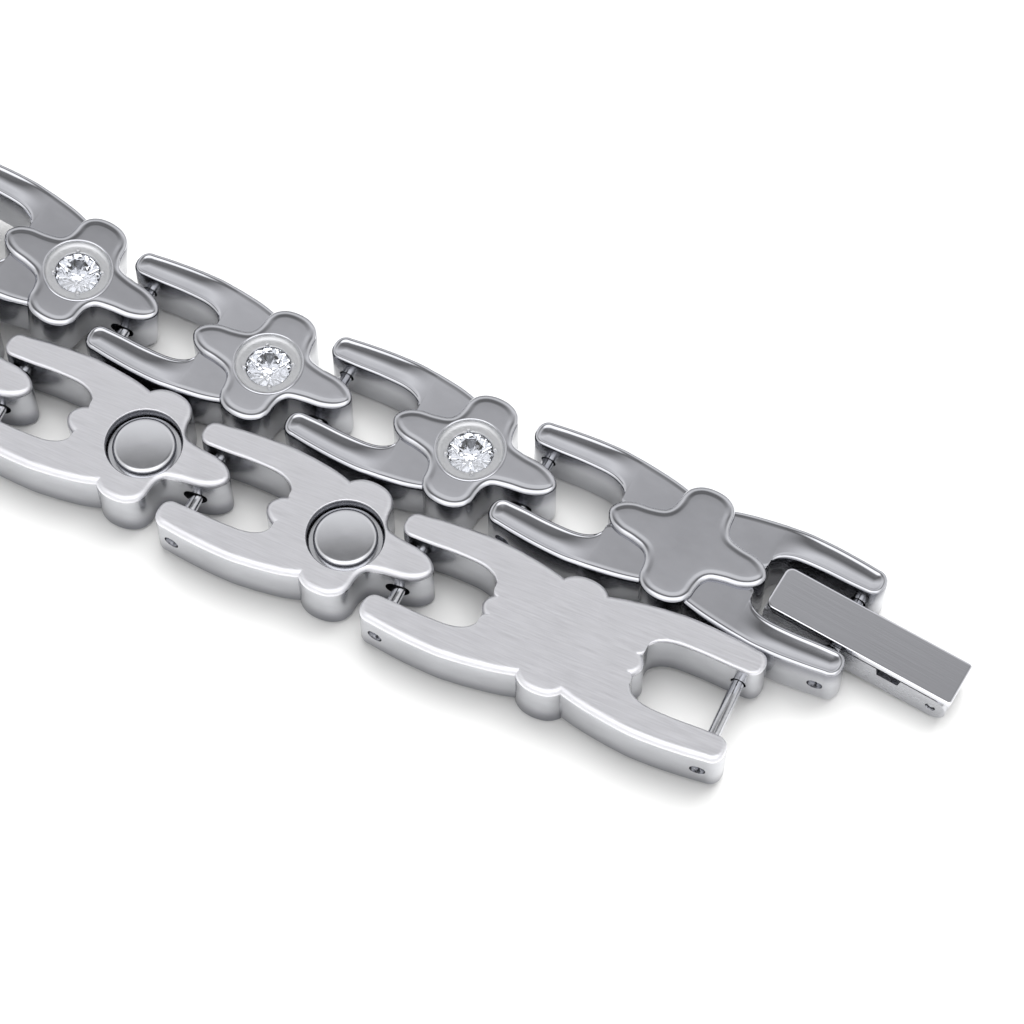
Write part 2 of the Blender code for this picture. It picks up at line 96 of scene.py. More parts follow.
@dataclass
class Place:
    """Where a piece's own frame lies in the world: origin in metres and three unit axes."""

    origin: np.ndarray
    along: np.ndarray
    width: np.ndarray
    front: np.ndarray

    def world(self, points: np.ndarray) -> np.ndarray:
        """Turn local points in millimetres into world points in metres.

        Each point is the origin plus x times along, y times width and z times front.
        """
        axes = np.stack([self.along, self.width, self.front])
        return self.origin + (points * MM) @ axes

    def shifted(self, x: float, y: float, z: float) -> "Place":
        """Return the same axes with the origin moved by local millimetres."""
        origin = self.world(np.array([[x, y, z]]))[0]
        return Place(origin, self.along, self.width, self.front)


def unit(vector: np.ndarray) -> np.ndarray:
    """Return a vector scaled to length one."""
    return vector / np.linalg.norm(vector)


def square_to(vector: np.ndarray, axis: np.ndarray) -> np.ndarray:
    """Return the direction of a vector less its part along a unit axis."""
    return unit(vector - axis * (vector @ axis))


def smooth_through(values: np.ndarray, samples: int, closed: bool) -> np.ndarray:
    """Pass a smooth curve through points.

    Catmull-Rom: between two points the curve is the cubic whose slopes there are half the step
    between the neighbours, so it runs through every point without a kink.

    Args:
        values: Rows of coordinates.
        samples: Points on each stretch between two rows.
        closed: Whether the last row joins the first.

    Returns:
        The points of the curve, with the last row once when it is open.
    """
    if closed:
        before, here = np.roll(values, 1, axis=0), values
        after, beyond = np.roll(values, -1, axis=0), np.roll(values, -2, axis=0)
    else:
        padded = np.vstack([2 * values[0] - values[1], values, 2 * values[-1] - values[-2]])
        before, here, after, beyond = padded[:-3], padded[1:-2], padded[2:-1], padded[3:]
    t = (np.arange(samples) / samples)[None, :, None]
    start_slope = 0.5 * (after - before)[:, None, :]
    end_slope = 0.5 * (beyond - here)[:, None, :]
    curve = ((2 * t**3 - 3 * t**2 + 1) * here[:, None, :] + (t**3 - 2 * t**2 + t) * start_slope
             + (3 * t**2 - 2 * t**3) * after[:, None, :] + (t**3 - t**2) * end_slope)
    curve = curve.reshape(-1, values.shape[1])
    return curve if closed else np.vstack([curve, values[-1:]])


def even_steps(outline: np.ndarray, count: int) -> np.ndarray:
    """Return points at even steps of length along a closed outline."""
    closed = np.vstack([outline, outline[:1]])
    run = np.concatenate([[0.0], np.cumsum(np.linalg.norm(np.diff(closed, axis=0), axis=1))])
    at = np.arange(count) * run[-1] / count
    return np.stack([np.interp(at, run, closed[:, axis]) for axis in range(2)], axis=1)


def inward(outline: np.ndarray) -> np.ndarray:
    """Return the inward unit normals of a closed anticlockwise outline.

    The normal is the chord between both neighbours turned a quarter to the left.
    """
    chord = np.roll(outline, -1, axis=0) - np.roll(outline, 1, axis=0)
    normal = np.stack([-chord[:, 1], chord[:, 0]], axis=1)
    return normal / np.linalg.norm(normal, axis=1)[:, None]


def on_circle(angle: np.ndarray) -> np.ndarray:
    """Return the points of the unit circle at the given angles."""
    return np.column_stack([np.cos(angle), np.sin(angle)])


def even_circle(sides: int) -> np.ndarray:
    """Return the corners of a regular polygon in the unit circle, anticlockwise."""
    return on_circle(np.arange(sides) * 2 * math.pi / sides)


def at_height(outline: np.ndarray, height: float | np.ndarray) -> np.ndarray:
    """Return a flat outline as points in space at the given height."""
    return np.column_stack([outline, np.broadcast_to(height, len(outline))])


def at_width(outline: np.ndarray, across: float) -> np.ndarray:
    """Return a side view, (along, height), as points in space at the given place across."""
    return np.column_stack([outline[:, 0], np.full(len(outline), across), outline[:, 1]])


def ring_faces(rings: int, count: int) -> np.ndarray:
    """Return the quads between rings of equal point count, ring after ring."""
    ring, step = np.meshgrid(np.arange(rings - 1), np.arange(count), indexing="ij")
    after = (step + 1) % count
    low, high = ring * count, (ring + 1) * count
    return np.stack([low + step, low + after, high + after, high + step], axis=-1).reshape(-1, 4)


def skin(rings: Sequence[np.ndarray], close_ends: bool = True) -> Shape:
    """Return the closed surface through rings of equal point count.

    Quads join each ring to the next, and a fan round its middle closes the first and last ring.
    """
    count = len(rings[0])
    points = np.vstack(rings)
    faces = ring_faces(len(rings), count).tolist()
    if close_ends:
        step = np.arange(count)
        after = (step + 1) % count
        first = np.column_stack([np.full(count, len(points)), after, step])
        last_start = (len(rings) - 1) * count
        last = np.column_stack([np.full(count, len(points) + 1), last_start + step, last_start + after])
        points = np.vstack([points, rings[0].mean(axis=0), rings[-1].mean(axis=0)])
        faces += first.tolist() + last.tolist()
    return Shape(points, faces)


def turned(profile: Sequence[tuple[float, float]], sides: int) -> Shape:
    """Return a body turned about the z axis from (radius, height) pairs, bottom to top or inwards."""
    circle = even_circle(sides)
    return skin([at_height(radius * circle, height) for radius, height in profile])


def prism(outline: np.ndarray, low: float, high: float) -> Shape:
    """Return a bar across the width whose outline is (along, height), anticlockwise seen from -y."""
    count = len(outline)
    faces = ring_faces(2, count).tolist()
    faces.append(list(range(count))[::-1])
    faces.append(list(range(count, 2 * count)))
    return Shape(np.vstack([at_width(outline, low), at_width(outline, high)]), faces)


def stadium(long: float, high: float, centre: tuple[float, float], steps: int = 12) -> np.ndarray:
    """Return a slot outline: two half circles joined by straight sides."""
    radius = high / 2
    reach = max(long / 2 - radius, 0.0)
    turn = np.linspace(-math.pi / 2, math.pi / 2, steps + 1)
    right = radius * on_circle(turn) + (reach, 0.0)
    return np.vstack([right, -right]) + np.asarray(centre)


def circle_points(radius: float, centre: tuple[float, float], sides: int = 24) -> np.ndarray:
    """Return a regular polygon, anticlockwise."""
    return np.asarray(centre) + radius * even_circle(sides)


def inset_step(outline: np.ndarray, depth: float) -> np.ndarray:
    """Return the step inwards at each point for one millimetre of inset.

    The largest circle that touches the outline at a point and stays inside it has as radius the
    least, over all other points, of distance squared over twice the distance along the normal.
    Where four fifths of that radius are less than the depth, the step is shortened in proportion,
    and a running mean over 9 points keeps it smooth.
    """
    normal = inward(outline)
    gap = outline[None, :, :] - outline[:, None, :]
    along = (gap * normal[:, None, :]).sum(axis=2)
    square = (gap**2).sum(axis=2)
    radius = np.where(along > 1e-6, square / np.maximum(2 * along, 1e-9), np.inf).min(axis=1)
    share = np.minimum(0.8 * radius / depth, 1.0)
    share = sum(np.roll(share, shift) for shift in range(-4, 5)) / 9
    return normal * share[:, None]


def smooth_step(value: np.ndarray | float) -> np.ndarray:
    """Return the smooth rise from 0 to 1: three times the square less twice the cube."""
    t = np.clip(value, 0.0, 1.0)
    return t * t * (3.0 - 2.0 * t)


def rounding(inset: np.ndarray | float, wide: np.ndarray | float, drop: float = 1.0) -> np.ndarray:
    """Return how far a rounded edge has dropped at a distance inside the outline.

    The edge is a quarter ellipse of the given width, whose height is that width times the drop.
    """
    left = np.clip(1.0 - np.asarray(inset) / wide, 0.0, 1.0)
    return drop * wide * (1.0 - np.sqrt(1.0 - left**2))


def edge_insets(wide: float, count: int) -> np.ndarray:
    """Return insets over a rounded edge, at even turns of its quarter ellipse."""
    return wide * (1.0 - np.cos(np.linspace(0.0, math.pi / 2, count)))


def as_mesh(name: str, shape: Shape) -> bpy.types.Mesh:
    """Return a Blender mesh of a shape, still in millimetres."""
    mesh = bpy.data.meshes.new(name)
    mesh.from_pydata(shape.points.tolist(), [], shape.faces)
    tidy = bmesh.new()
    tidy.from_mesh(mesh)
    bmesh.ops.remove_doubles(tidy, verts=tidy.verts, dist=MERGE)
    bmesh.ops.dissolve_degenerate(tidy, edges=tidy.edges, dist=MERGE)
    bmesh.ops.recalc_face_normals(tidy, faces=tidy.faces)
    tidy.to_mesh(mesh)
    tidy.free()
    return mesh


def rows_of(items: bpy.types.bpy_prop_collection, name: str) -> np.ndarray:
    """Return a vector property of a mesh's vertices or faces, one row for each."""
    values = np.empty(len(items) * 3)
    items.foreach_get(name, values)
    return values.reshape(-1, 3)


def add_object(name: str, data: bpy.types.ID) -> bpy.types.Object:
    """Return a new object in the scene that holds the given data."""
    item = bpy.data.objects.new(name, data)
    bpy.context.scene.collection.objects.link(item)
    return item


def combine(base: Shape, joined: Iterable[Shape], cut: Iterable[Shape]) -> Shape:
    """Return a base with shapes joined to it and shapes cut from it."""
    made = []

    def temporary(shape: Shape) -> bpy.types.Object:
        """Return a passing object that holds a shape."""
        made.append(add_object("temporary", as_mesh("temporary", shape)))
        return made[-1]

    body = temporary(base)
    for operation, shapes in (("UNION", joined), ("DIFFERENCE", cut)):
        for shape in shapes:
            step = body.modifiers.new(operation.lower(), "BOOLEAN")
            step.operation = operation
            step.solver = "EXACT"
            step.object = temporary(shape)
    bpy.context.view_layer.update()
    result = bpy.data.meshes.new_from_object(body.evaluated_get(bpy.context.evaluated_depsgraph_get()))
    cut_shape = Shape(rows_of(result.vertices, "co"), [list(face.vertices) for face in result.polygons])
    for item in made:
        data = item.data
        bpy.data.objects.remove(item)
        bpy.data.meshes.remove(data)
    bpy.data.meshes.remove(result)
    return cut_shape


def together(shapes: Sequence[Shape]) -> Shape:
    """Return several shapes as one mesh of separate shells."""
    faces, start = [], 0
    for shape in shapes:
        faces += [[index + start for index in face] for face in shape.faces]
        start += len(shape.points)
    return Shape(np.vstack([shape.points for shape in shapes]), faces)


def linear(hex_colour: str) -> tuple[float, float, float, float]:
    """Turn an sRGB hex colour into linear light with full alpha."""
    parts = [int(hex_colour[i:i + 2], 16) / 255 for i in (1, 3, 5)]
    light = [c / 12.92 if c <= 0.04045 else ((c + 0.055) / 1.055) ** 2.4 for c in parts]
    return (light[0], light[1], light[2], 1.0)


def add_node(tree: bpy.types.NodeTree, kind: str, settings: dict | None = None,
             links: dict | None = None) -> bpy.types.Node:
    """Add a node to a tree.

    Args:
        tree: The node tree.
        kind: The node's type name.
        settings: Attribute names, or input names or numbers, with their values.
        links: Input names or numbers, each with the socket that feeds it.

    Returns:
        The new node.
    """
    node = tree.nodes.new(kind)
    for key, value in (settings or {}).items():
        if isinstance(key, str) and hasattr(node, key):
            setattr(node, key, value)
        else:
            node.inputs[key].default_value = value
    for key, socket in (links or {}).items():
        tree.links.new(socket, node.inputs[key])
    return node


def new_material(name: str, inputs: dict) -> bpy.types.Material:
    """Return a new material whose Principled shader has the given values."""
    made = bpy.data.materials.new(name)
    made.use_nodes = True
    shader = made.node_tree.nodes["Principled BSDF"]
    for key, value in inputs.items():
        shader.inputs[key].default_value = value
    return made


@dataclass(frozen=True)
class Steel:
    """Stainless steel with a worked surface: hairlines or a soft wave under the gloss.

    Attributes:
        name: The finish, as a maker calls it.
        colour: Colour of the bare metal.
        roughness: Gloss, from 0 for a mirror.
        spread: How far the gloss varies along the grain.
        line_mm: Spacing of the grain across its direction.
        line_long_mm: Length of a line of the grain.
        depth: Strength of the bump.
        painted_shade_colour: Colour of the painted shade that the sides reach towards the front, or
            nothing for an even colour.
        painted_shade_from: Height in millimetres where that change begins.
        painted_shade_to: Height where it ends.
    """

    name: str
    colour: str
    roughness: float
    spread: float
    line_mm: float
    line_long_mm: float
    depth: float
    painted_shade_colour: str = ""
    painted_shade_from: float = 2.2
    painted_shade_to: float = 3.9

    def material(self) -> bpy.types.Material:
        """Return the material: noise stretched along the grain drives gloss, tone and bump."""
        made = new_material(self.name, {"Metallic": 1.0})
        tree = made.node_tree
        shader = tree.nodes["Principled BSDF"]
        grain_at = add_node(tree, "ShaderNodeUVMap", {"uv_map": "grain"})
        stretch = add_node(tree, "ShaderNodeMapping",
                           {"Scale": (1.0 / self.line_long_mm, 1.0 / self.line_mm, 1.0)},
                           {"Vector": grain_at.outputs["UV"]})
        lines = add_node(tree, "ShaderNodeTexNoise", {"Scale": 1.0, "Detail": 3.0, "Roughness": 0.6},
                         {"Vector": stretch.outputs["Vector"]})
        rough = add_node(tree, "ShaderNodeMapRange",
                         {"From Min": GLOSS_RANGE[0], "From Max": GLOSS_RANGE[1],
                          "To Min": self.roughness - self.spread, "To Max": self.roughness + self.spread},
                         {"Value": lines.outputs["Fac"]})
        red, green, blue, _ = linear(self.colour)
        tone = add_node(tree, "ShaderNodeValToRGB", links={"Fac": lines.outputs["Fac"]})
        for element, position, bright in zip(tone.color_ramp.elements, TONE_RANGE, (GRAIN_DIP, 1.0)):
            element.position = position
            element.color = (red * bright, green * bright, blue * bright, 1.0)
        metal = tone.outputs["Color"]
        # Painted shade: the sides darken towards the front in place of the dark reflections on them.
        if self.painted_shade_colour:
            metal = self.with_painted_shade(tree, metal)
        bump = add_node(tree, "ShaderNodeBump", {"Strength": self.depth, "Distance": BUMP_HEIGHT},
                        {"Height": lines.outputs["Fac"]})
        tree.links.new(rough.outputs["Result"], shader.inputs["Roughness"])
        tree.links.new(metal, shader.inputs["Base Color"])
        tree.links.new(bump.outputs["Normal"], shader.inputs["Normal"])
        return made

    def with_painted_shade(self, tree: bpy.types.NodeTree, metal: bpy.types.NodeSocket) -> bpy.types.NodeSocket:
        """Return the colour that changes with the height kept in the UV map named rise."""
        rise = add_node(tree, "ShaderNodeUVMap", {"uv_map": "rise"})
        parts = add_node(tree, "ShaderNodeSeparateXYZ", links={"Vector": rise.outputs["UV"]})
        share = add_node(tree, "ShaderNodeMapRange",
                         {"interpolation_type": "SMOOTHSTEP", "From Min": self.painted_shade_from,
                          "From Max": self.painted_shade_to}, {"Value": parts.outputs["X"]})
        mixed = add_node(tree, "ShaderNodeMix", {"data_type": "RGBA", 7: linear(self.painted_shade_colour)},
                         {0: share.outputs["Result"], 6: metal})
        return mixed.outputs[2]


# Stainless steel polished with a wheel: a mirror with the faintest wave.
POLISHED = Steel("polished stainless steel", "#CDCED3", 0.12, 0.02, 2.5, 4.0, 0.05)
# The tumbled sides: glossy and a little soft, with painted shade that darkens them towards the front in
# place of the dark reflections on the walls.
TUMBLED = Steel("tumbled stainless steel with painted shade", "#C6C7CB", 0.22, 0.04, 0.9, 1.8, 0.08, "#84858B")
# The milled clasp base, even and light.
MILLED = Steel("milled stainless steel", "#C9CACE", 0.26, 0.04, 0.5, 1.8, 0.08)
# The back drawn over an abrasive belt along the chain: fine straight hairlines.
BELT_SATIN = Steel("belt-brushed stainless steel", "#EEEEF2", 0.46, 0.07, 0.11, 2.4, 0.50)
# The milled cup round a stone: rings left by the cutter under a blasted frost.
FROSTED = Steel("frosted milled stainless steel", "#DCDDDF", 0.46, 0.08, 0.12, 0.35, 0.70)
# The magnet's pocket: duller than the faces as it was cast, and painted darker as shade inside the
# recess.
POCKET_PAINTED_SHADE_STEEL = Steel("cast stainless steel pocket with painted shade", "#97989D", 0.26, 0.05, 0.6, 0.8, 0.10)
# Hard drawn wire of the split pins: bright and smooth.
WIRE = Steel("drawn stainless wire", "#CFD0D4", 0.18, 0.03, 0.2, 6.0, 0.05)
# The clasp's cover, polished and then lightly brushed along its length.
COVER_STEEL = Steel("lightly brushed stainless steel", "#E0E1E6", 0.15, 0.03, 0.07, 6.0, 0.04)
# Bright nickel on a round magnet: soft mirror with a handled haze.
NICKEL = Steel("nickel-plated magnet", "#DDDEE2", 0.22, 0.05, 3.0, 3.4, 0.03)


@dataclass(frozen=True)
class ClearStone:
    """Cubic zirconia, cut and polished: clear, with a high index that flashes white at its facets."""

    name: str = "clear cubic zirconia"
    colour: str = "#BEC1C8"
    index: float = 2.15

    def material(self) -> bpy.types.Material:
        """Return a clear refracting material."""
        return new_material(self.name, {"Base Color": linear(self.colour), "Roughness": 0.0,
                                        "IOR": self.index, "Transmission Weight": 1.0})


def put(name: str, shape: Shape, place: Place, finishes: Sequence[bpy.types.Material],
        regions: np.ndarray | None = None, body: str = BODY, smooth: bool = True) -> bpy.types.Object:
    """Make a finished piece: its object at the origin, its place in its mesh.

    The UV map named grain holds local millimetres: x along the piece, and y plus height across it,
    so that the grain runs along the piece on its faces and on its sides. The one named rise holds
    the local height.

    Args:
        name: The piece's name.
        shape: Its mesh in its own frame.
        place: Where that frame lies.
        finishes: Materials, one for each region.
        regions: The material number of each face, or nothing for a single finish.
        body: The moving body that carries the piece.
        smooth: Whether faces blend across blunt edges.

    Returns:
        The new object.
    """
    mesh = as_mesh(name, shape)
    local = rows_of(mesh.vertices, "co")
    corner = np.empty(len(mesh.loops), dtype=np.int32)
    mesh.loops.foreach_get("vertex_index", corner)
    grain = np.stack([local[:, 0], local[:, 1] + local[:, 2]], axis=1)[corner]
    mesh.uv_layers.new(name="grain").data.foreach_set("uv", grain.ravel())
    rise = np.stack([local[:, 2], np.zeros(len(local))], axis=1)[corner]
    mesh.uv_layers.new(name="rise").data.foreach_set("uv", rise.ravel())
    for finish in finishes:
        mesh.materials.append(finish)
    if regions is not None and len(regions) == len(mesh.polygons):
        mesh.polygons.foreach_set("material_index", regions.astype(np.int32))
    mesh.vertices.foreach_set("co", place.world(local).ravel())
    if smooth:
        mesh.shade_smooth()
        mesh.set_sharp_from_angle(angle=math.radians(SHARP_ANGLE))
    mesh.update()
    item = add_object(name, mesh)
    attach(item, body)
    log.info("%s: %d faces", name, len(mesh.polygons))
    return item


@dataclass
class StarBody:
    """The raised four-lobed star of a link, with its cup in front and its pocket behind.

    Lengths are in millimetres from the star's middle. The quarter table runs from the crown of a
    side lobe to the end of a tip, and only the tip stretches to its own length.
    """

    left_tip: float
    right_tip: float
    centre: float
    jewelled: bool
    high: float = 4.25
    quarter_tip: float = 5.65
    tip_root: float = 2.60
    front_round: float = 0.42
    front_drop: float = 0.72
    slope_start: float = 0.8      # share of the rounding where the slope begins
    back_round: float = 0.46
    dish: float = 0.035
    slope_wide: float = 0.38
    bowl: float = 0.05
    bowl_at_lip: float = 0.7      # share of the bowl's depth at the lip round the cup
    samples: int = 240
    quarter: tuple[tuple[float, float], ...] = (
        # along, across
        (0.00, 4.45),
        (0.85, 4.32),
        (1.50, 3.90),
        (1.82, 3.30),
        (1.90, 2.60),
        (2.06, 2.05),
        (2.44, 1.64),
        (3.30, 1.40),
        (4.40, 1.23),
        (5.25, 0.78),
    )

    def outline(self) -> np.ndarray:
        """Return the star's outline: the table mirrored to four quarters, smoothed and spaced evenly."""
        points = []
        for x_sign, y_sign, tip, flip in ((1, 1, self.right_tip, False), (1, -1, self.right_tip, True),
                                          (-1, -1, self.left_tip, False), (-1, 1, self.left_tip, True)):
            table = np.array(self.quarter)
            grow = (tip - self.tip_root) / (self.quarter_tip - self.tip_root)
            stretched = self.tip_root + (table[:, 0] - self.tip_root) * grow
            table[:, 0] = np.where(table[:, 0] > self.tip_root, stretched, table[:, 0])
            side = np.vstack([table, [[tip, 0.0]]]) * (x_sign, y_sign)
            points.append(side[::-1][:-1] if flip else side[:-1])
        return even_steps(smooth_through(np.vstack(points)[::-1], 16, True), self.samples)

    def towards_middle(self, outer: np.ndarray, height: float, steps: int) -> list[np.ndarray]:
        """Return flat rings that shrink from an outline towards the star's middle."""
        shares = np.linspace(1.0, 0.03, steps + 1)[1:]
        return [at_height(outer * share, height) for share in shares]

    def bowled(self, ring: np.ndarray) -> np.ndarray:
        """Return a ring on a very flat bowl.

        It goes down by the bowl times one less the square of the distance from the middle over the
        side lobe's.
        """
        reach = np.hypot(ring[:, 0], ring[:, 1]) / self.quarter[0][1]
        return ring - np.column_stack([np.zeros((len(ring), 2)), self.bowl * (1.0 - reach**2)])

    def front_rings(self, outline: np.ndarray, step: np.ndarray) -> list[np.ndarray]:
        """Return rings from the wall over the rounded rim into the sunken face.

        The rim is a quarter ellipse, its inner slope sinks smoothly by the dish, and all of it lies on
        a very flat bowl.
        """
        rings = []
        over = edge_insets(self.front_round, 12)
        start = self.slope_start * self.front_round
        for inset in [*over, *np.linspace(self.front_round, start + self.slope_wide, 7)[1:]]:
            height = self.high - float(rounding(inset, self.front_round, self.front_drop))
            height -= self.dish * float(smooth_step((inset - start) / self.slope_wide))
            rings.append(at_height(outline + step * inset, height))
        rings += self.towards_middle(rings[-1][:, :2], self.high - self.dish, 8)
        return [self.bowled(ring) for ring in rings]

    def back_rings(self, outline: np.ndarray, step: np.ndarray) -> list[np.ndarray]:
        """Return rings from the wall round the back edge over the flat back."""
        rings = []
        for inset in edge_insets(self.back_round, 7):
            rings.append(at_height(outline + step * inset, float(rounding(inset, self.back_round))))
        return rings + self.towards_middle(rings[-1][:, :2], 0.0, 5)

    def shape(self) -> Shape:
        """Return the closed star: back, wall and front in one run of rings."""
        outline = self.outline()
        step = inset_step(outline, self.slope_start * self.front_round + self.slope_wide)
        rings = self.back_rings(outline, step)[::-1] + self.front_rings(outline, step)
        return skin(rings).moved((self.centre, 0.0, 0.0))


@dataclass
class Setting:
    """What is turned into a jewelled star: the lip and cup of the stone, and the magnet's pocket."""

    centre: float
    face: float
    lip_radius: float = 2.33
    lip_round: float = 0.085
    lip_sides: int = 8
    cup_radius: float = 2.25
    cup_depth: float = 0.30
    seat_radius: float = 1.53
    seat_depth: float = 1.75
    pocket_radius: float = 2.54
    mouth_round: float = 0.14
    pocket_depth: float = 1.30
    grain_radius: float = 0.15
    grain_stem: float = 0.10
    grain_reach: float = 1.63
    grain_turn: float = 0.35      # how far the grains stand off the link's axes, in quarter turns
    above: float = 0.5            # how far the cutters stand out of the faces
    flare_share: float = 0.4      # how much of the mouth's rounding counts as pocket
    sides: int = 72

    def lip(self) -> Shape:
        """Return the fine raised ring round the cup: a small round carried round the axis."""
        turn = np.linspace(0.0, 2 * math.pi, self.lip_sides + 1)[:-1]
        around = even_circle(self.sides)
        reach = self.lip_radius + self.lip_round * np.cos(turn)[:, None]
        height = self.face - 0.02 + self.lip_round * np.sin(turn)[:, None]
        points = np.stack([reach * around[:, 0], reach * around[:, 1],
                           np.broadcast_to(height, (self.lip_sides, self.sides))], axis=-1).reshape(-1, 3)
        step = np.arange(self.sides)
        after = (step + 1) % self.sides
        low = (self.lip_sides - 1) * self.sides
        last = np.stack([low + step, low + after, after, step], axis=-1)
        faces = ring_faces(self.lip_sides, self.sides).tolist() + last.tolist()
        return Shape(points, faces).moved((self.centre, 0.0, 0.0))

    def grains(self) -> Shape:
        """Return the four small grains raised beside the stone that hold it: round heads on stems."""
        rise = np.linspace(0.0, math.pi / 2, 6)
        base = self.face - self.cup_depth
        profile = [(self.grain_radius, base - 0.05)]
        profile += [(self.grain_radius * math.cos(t) + 0.002,
                     base + self.grain_stem + self.grain_radius * math.sin(t)) for t in rise]
        head = turned(profile, 16)
        shapes = []
        for quarter in range(4):
            turn = (quarter + self.grain_turn) * math.pi / 2
            x, y = self.grain_reach * math.cos(turn), self.grain_reach * math.sin(turn)
            at = (self.centre + x, y, 0.0)
            shapes.append(head.moved(at))
        return together(shapes)

    def cup(self) -> Shape:
        """Return the cutter of cup and seat: floor with a soft corner, then a straight hole."""
        floor = self.face - self.cup_depth
        profile = [(0.05, self.face - self.seat_depth), (self.seat_radius, self.face - self.seat_depth),
                   (self.seat_radius, floor - 0.06), (self.seat_radius + 0.06, floor),
                   (self.cup_radius - 0.30, floor), (self.cup_radius - 0.16, floor + 0.05),
                   (self.cup_radius - 0.06, floor + 0.15), (self.cup_radius, self.face - 0.05),
                   (self.cup_radius + 0.02, self.face + self.above), (0.05, self.face + self.above)]
        return turned(profile, self.sides).moved((self.centre, 0.0, 0.0))

    def pocket(self) -> Shape:
        """Return the cutter of the magnet's pocket, a little flared at its mouth."""
        mouth = self.pocket_radius + self.mouth_round
        turn = np.linspace(0.0, math.pi / 2, 6)
        lip = [(mouth - self.mouth_round * math.sin(t), self.mouth_round * (1.0 - math.cos(t)))
               for t in turn]
        profile = [(0.05, -self.above), (mouth, -self.above), *lip,
                   (self.pocket_radius, self.pocket_depth - 0.1),
                   (self.pocket_radius - 0.1, self.pocket_depth), (0.05, self.pocket_depth)]
        return turned(profile, self.sides).moved((self.centre, 0.0, 0.0))


@dataclass
class ForkArm:
    """One bowed arm of a fork, from its round end at the pin to its root inside the star.

    The table gives the inner and outer edge at stations along the fork, counted from the pin.
    """

    pin_at: float
    direction: int
    side: int
    root: float = 0.0        # how much farther the root reaches than the table
    high: float = 3.90
    outer_round: float = 0.40
    inner_round: float = 0.28
    front_drop: float = 0.90
    back_outer_round: float = 0.50
    back_inner_round: float = 0.24
    dish: float = 0.05
    outer_slope: float = 0.26
    inner_slope: float = 0.22
    slope_start: float = 0.6      # share of the rounding where the slope begins
    hollow: float = 0.15
    hollow_from: float = 3.0
    hollow_run: float = 3.4
    lift: float = 0.004      # keeps the arm's back a hair off the star's, for a clean join
    table: tuple[tuple[float, float, float], ...] = (
        # along, inner, outer
        (-0.48, 2.33, 4.26),
        (0.80, 2.35, 4.42),
        (2.60, 2.42, 4.57),
        (4.40, 2.36, 4.62),
        (5.40, 2.04, 4.55),
        (5.92, 1.50, 4.50),
        (6.14, 0.70, 4.48),
        (7.60, 0.30, 4.27),
        (8.60, 0.30, 4.03),
        (9.50, 0.30, 3.72),
    )
    root_from: float = 6.2
    root_run: float = 3.3
    root_wide: float = -0.16
    end_at: float = -1.38
    end_power: float = 0.88

    def edges(self) -> tuple[np.ndarray, np.ndarray, np.ndarray]:
        """Return the outline, the medial point of each of its points, and how much of it is outer edge.

        The edges are smooth curves through the table, whose last stations are drawn out by the root
        while the outer edge draws in with it. The end is half a superellipse about the medial point
        of the first station, whose power makes it squarer than a circle.
        """
        run = smooth_through(np.array(self.table), 10, False)
        drawn = self.root * smooth_step((run[:, 0] - self.root_from) / self.root_run)
        run[:, 0] += drawn
        run[:, 2] += self.root_wide * drawn
        outer = run[::-1, [0, 2]]
        inner = run[:, [0, 1]]
        middle = np.column_stack([run[:, 0], (run[:, 1] + run[:, 2]) / 2])
        centre = middle[0]
        half = (run[0, 2] - run[0, 1]) / 2
        turn = np.linspace(0.0, math.pi, 25)[1:-1]
        swing, reach = np.cos(turn), np.sin(turn)
        cap = np.column_stack([
            centre[0] - (centre[0] - self.end_at) * np.abs(reach) ** self.end_power,
            centre[1] + half * np.sign(swing) * np.abs(swing) ** self.end_power])
        outline = np.vstack([outer, cap, inner])
        feet = np.vstack([middle[::-1], np.repeat(middle[:1], len(cap), axis=0), middle])
        outerness = np.concatenate([np.ones(len(outer)), (1 + np.cos(turn)) / 2, np.zeros(len(inner))])
        flip = np.array([self.direction, self.side])
        outline = outline * flip + (self.pin_at, 0.0)
        feet = feet * flip + (self.pin_at, 0.0)
        return outline, feet, outerness

    def shape(self) -> Shape:
        """Return the closed arm: rings that shrink from the outline to the medial line.

        The height at a ring is the quarter-round drop at its real distance inside the outline. Past
        the rounding the front sinks smoothly by the dish, and over the whole way to the medial line
        by the hollow, which runs out towards the root.
        """
        outline, feet, outerness = self.edges()
        depth = np.linalg.norm(feet - outline, axis=1)
        front_round = self.inner_round + (self.outer_round - self.inner_round) * outerness
        back_round = self.back_inner_round + (self.back_outer_round - self.back_inner_round) * outerness
        slope = self.inner_slope + (self.outer_slope - self.inner_slope) * outerness
        along = np.abs(feet[:, 0] - self.pin_at)
        bowed = 1.0 - smooth_step((along - self.hollow_from) / self.hollow_run)
        shares = np.array([0.0, 0.012, 0.04, 0.085, 0.14, 0.20, 0.26, 0.32, 0.38, 0.44, 0.50, 0.58,
                           0.68, 0.79, 0.90, 1.0])
        front, back = [], []
        for share in shares:
            ring = outline + (feet - outline) * share
            inset = depth * share
            sink = self.dish * smooth_step((inset - self.slope_start * front_round) / slope)
            sink += self.hollow * smooth_step(share) * bowed
            edge = rounding(inset, front_round, self.front_drop)
            front.append(at_height(ring, self.high - edge - sink))
            back.append(at_height(ring, self.lift + rounding(inset, back_round)))
        return skin(back[::-1] + front, close_ends=False)


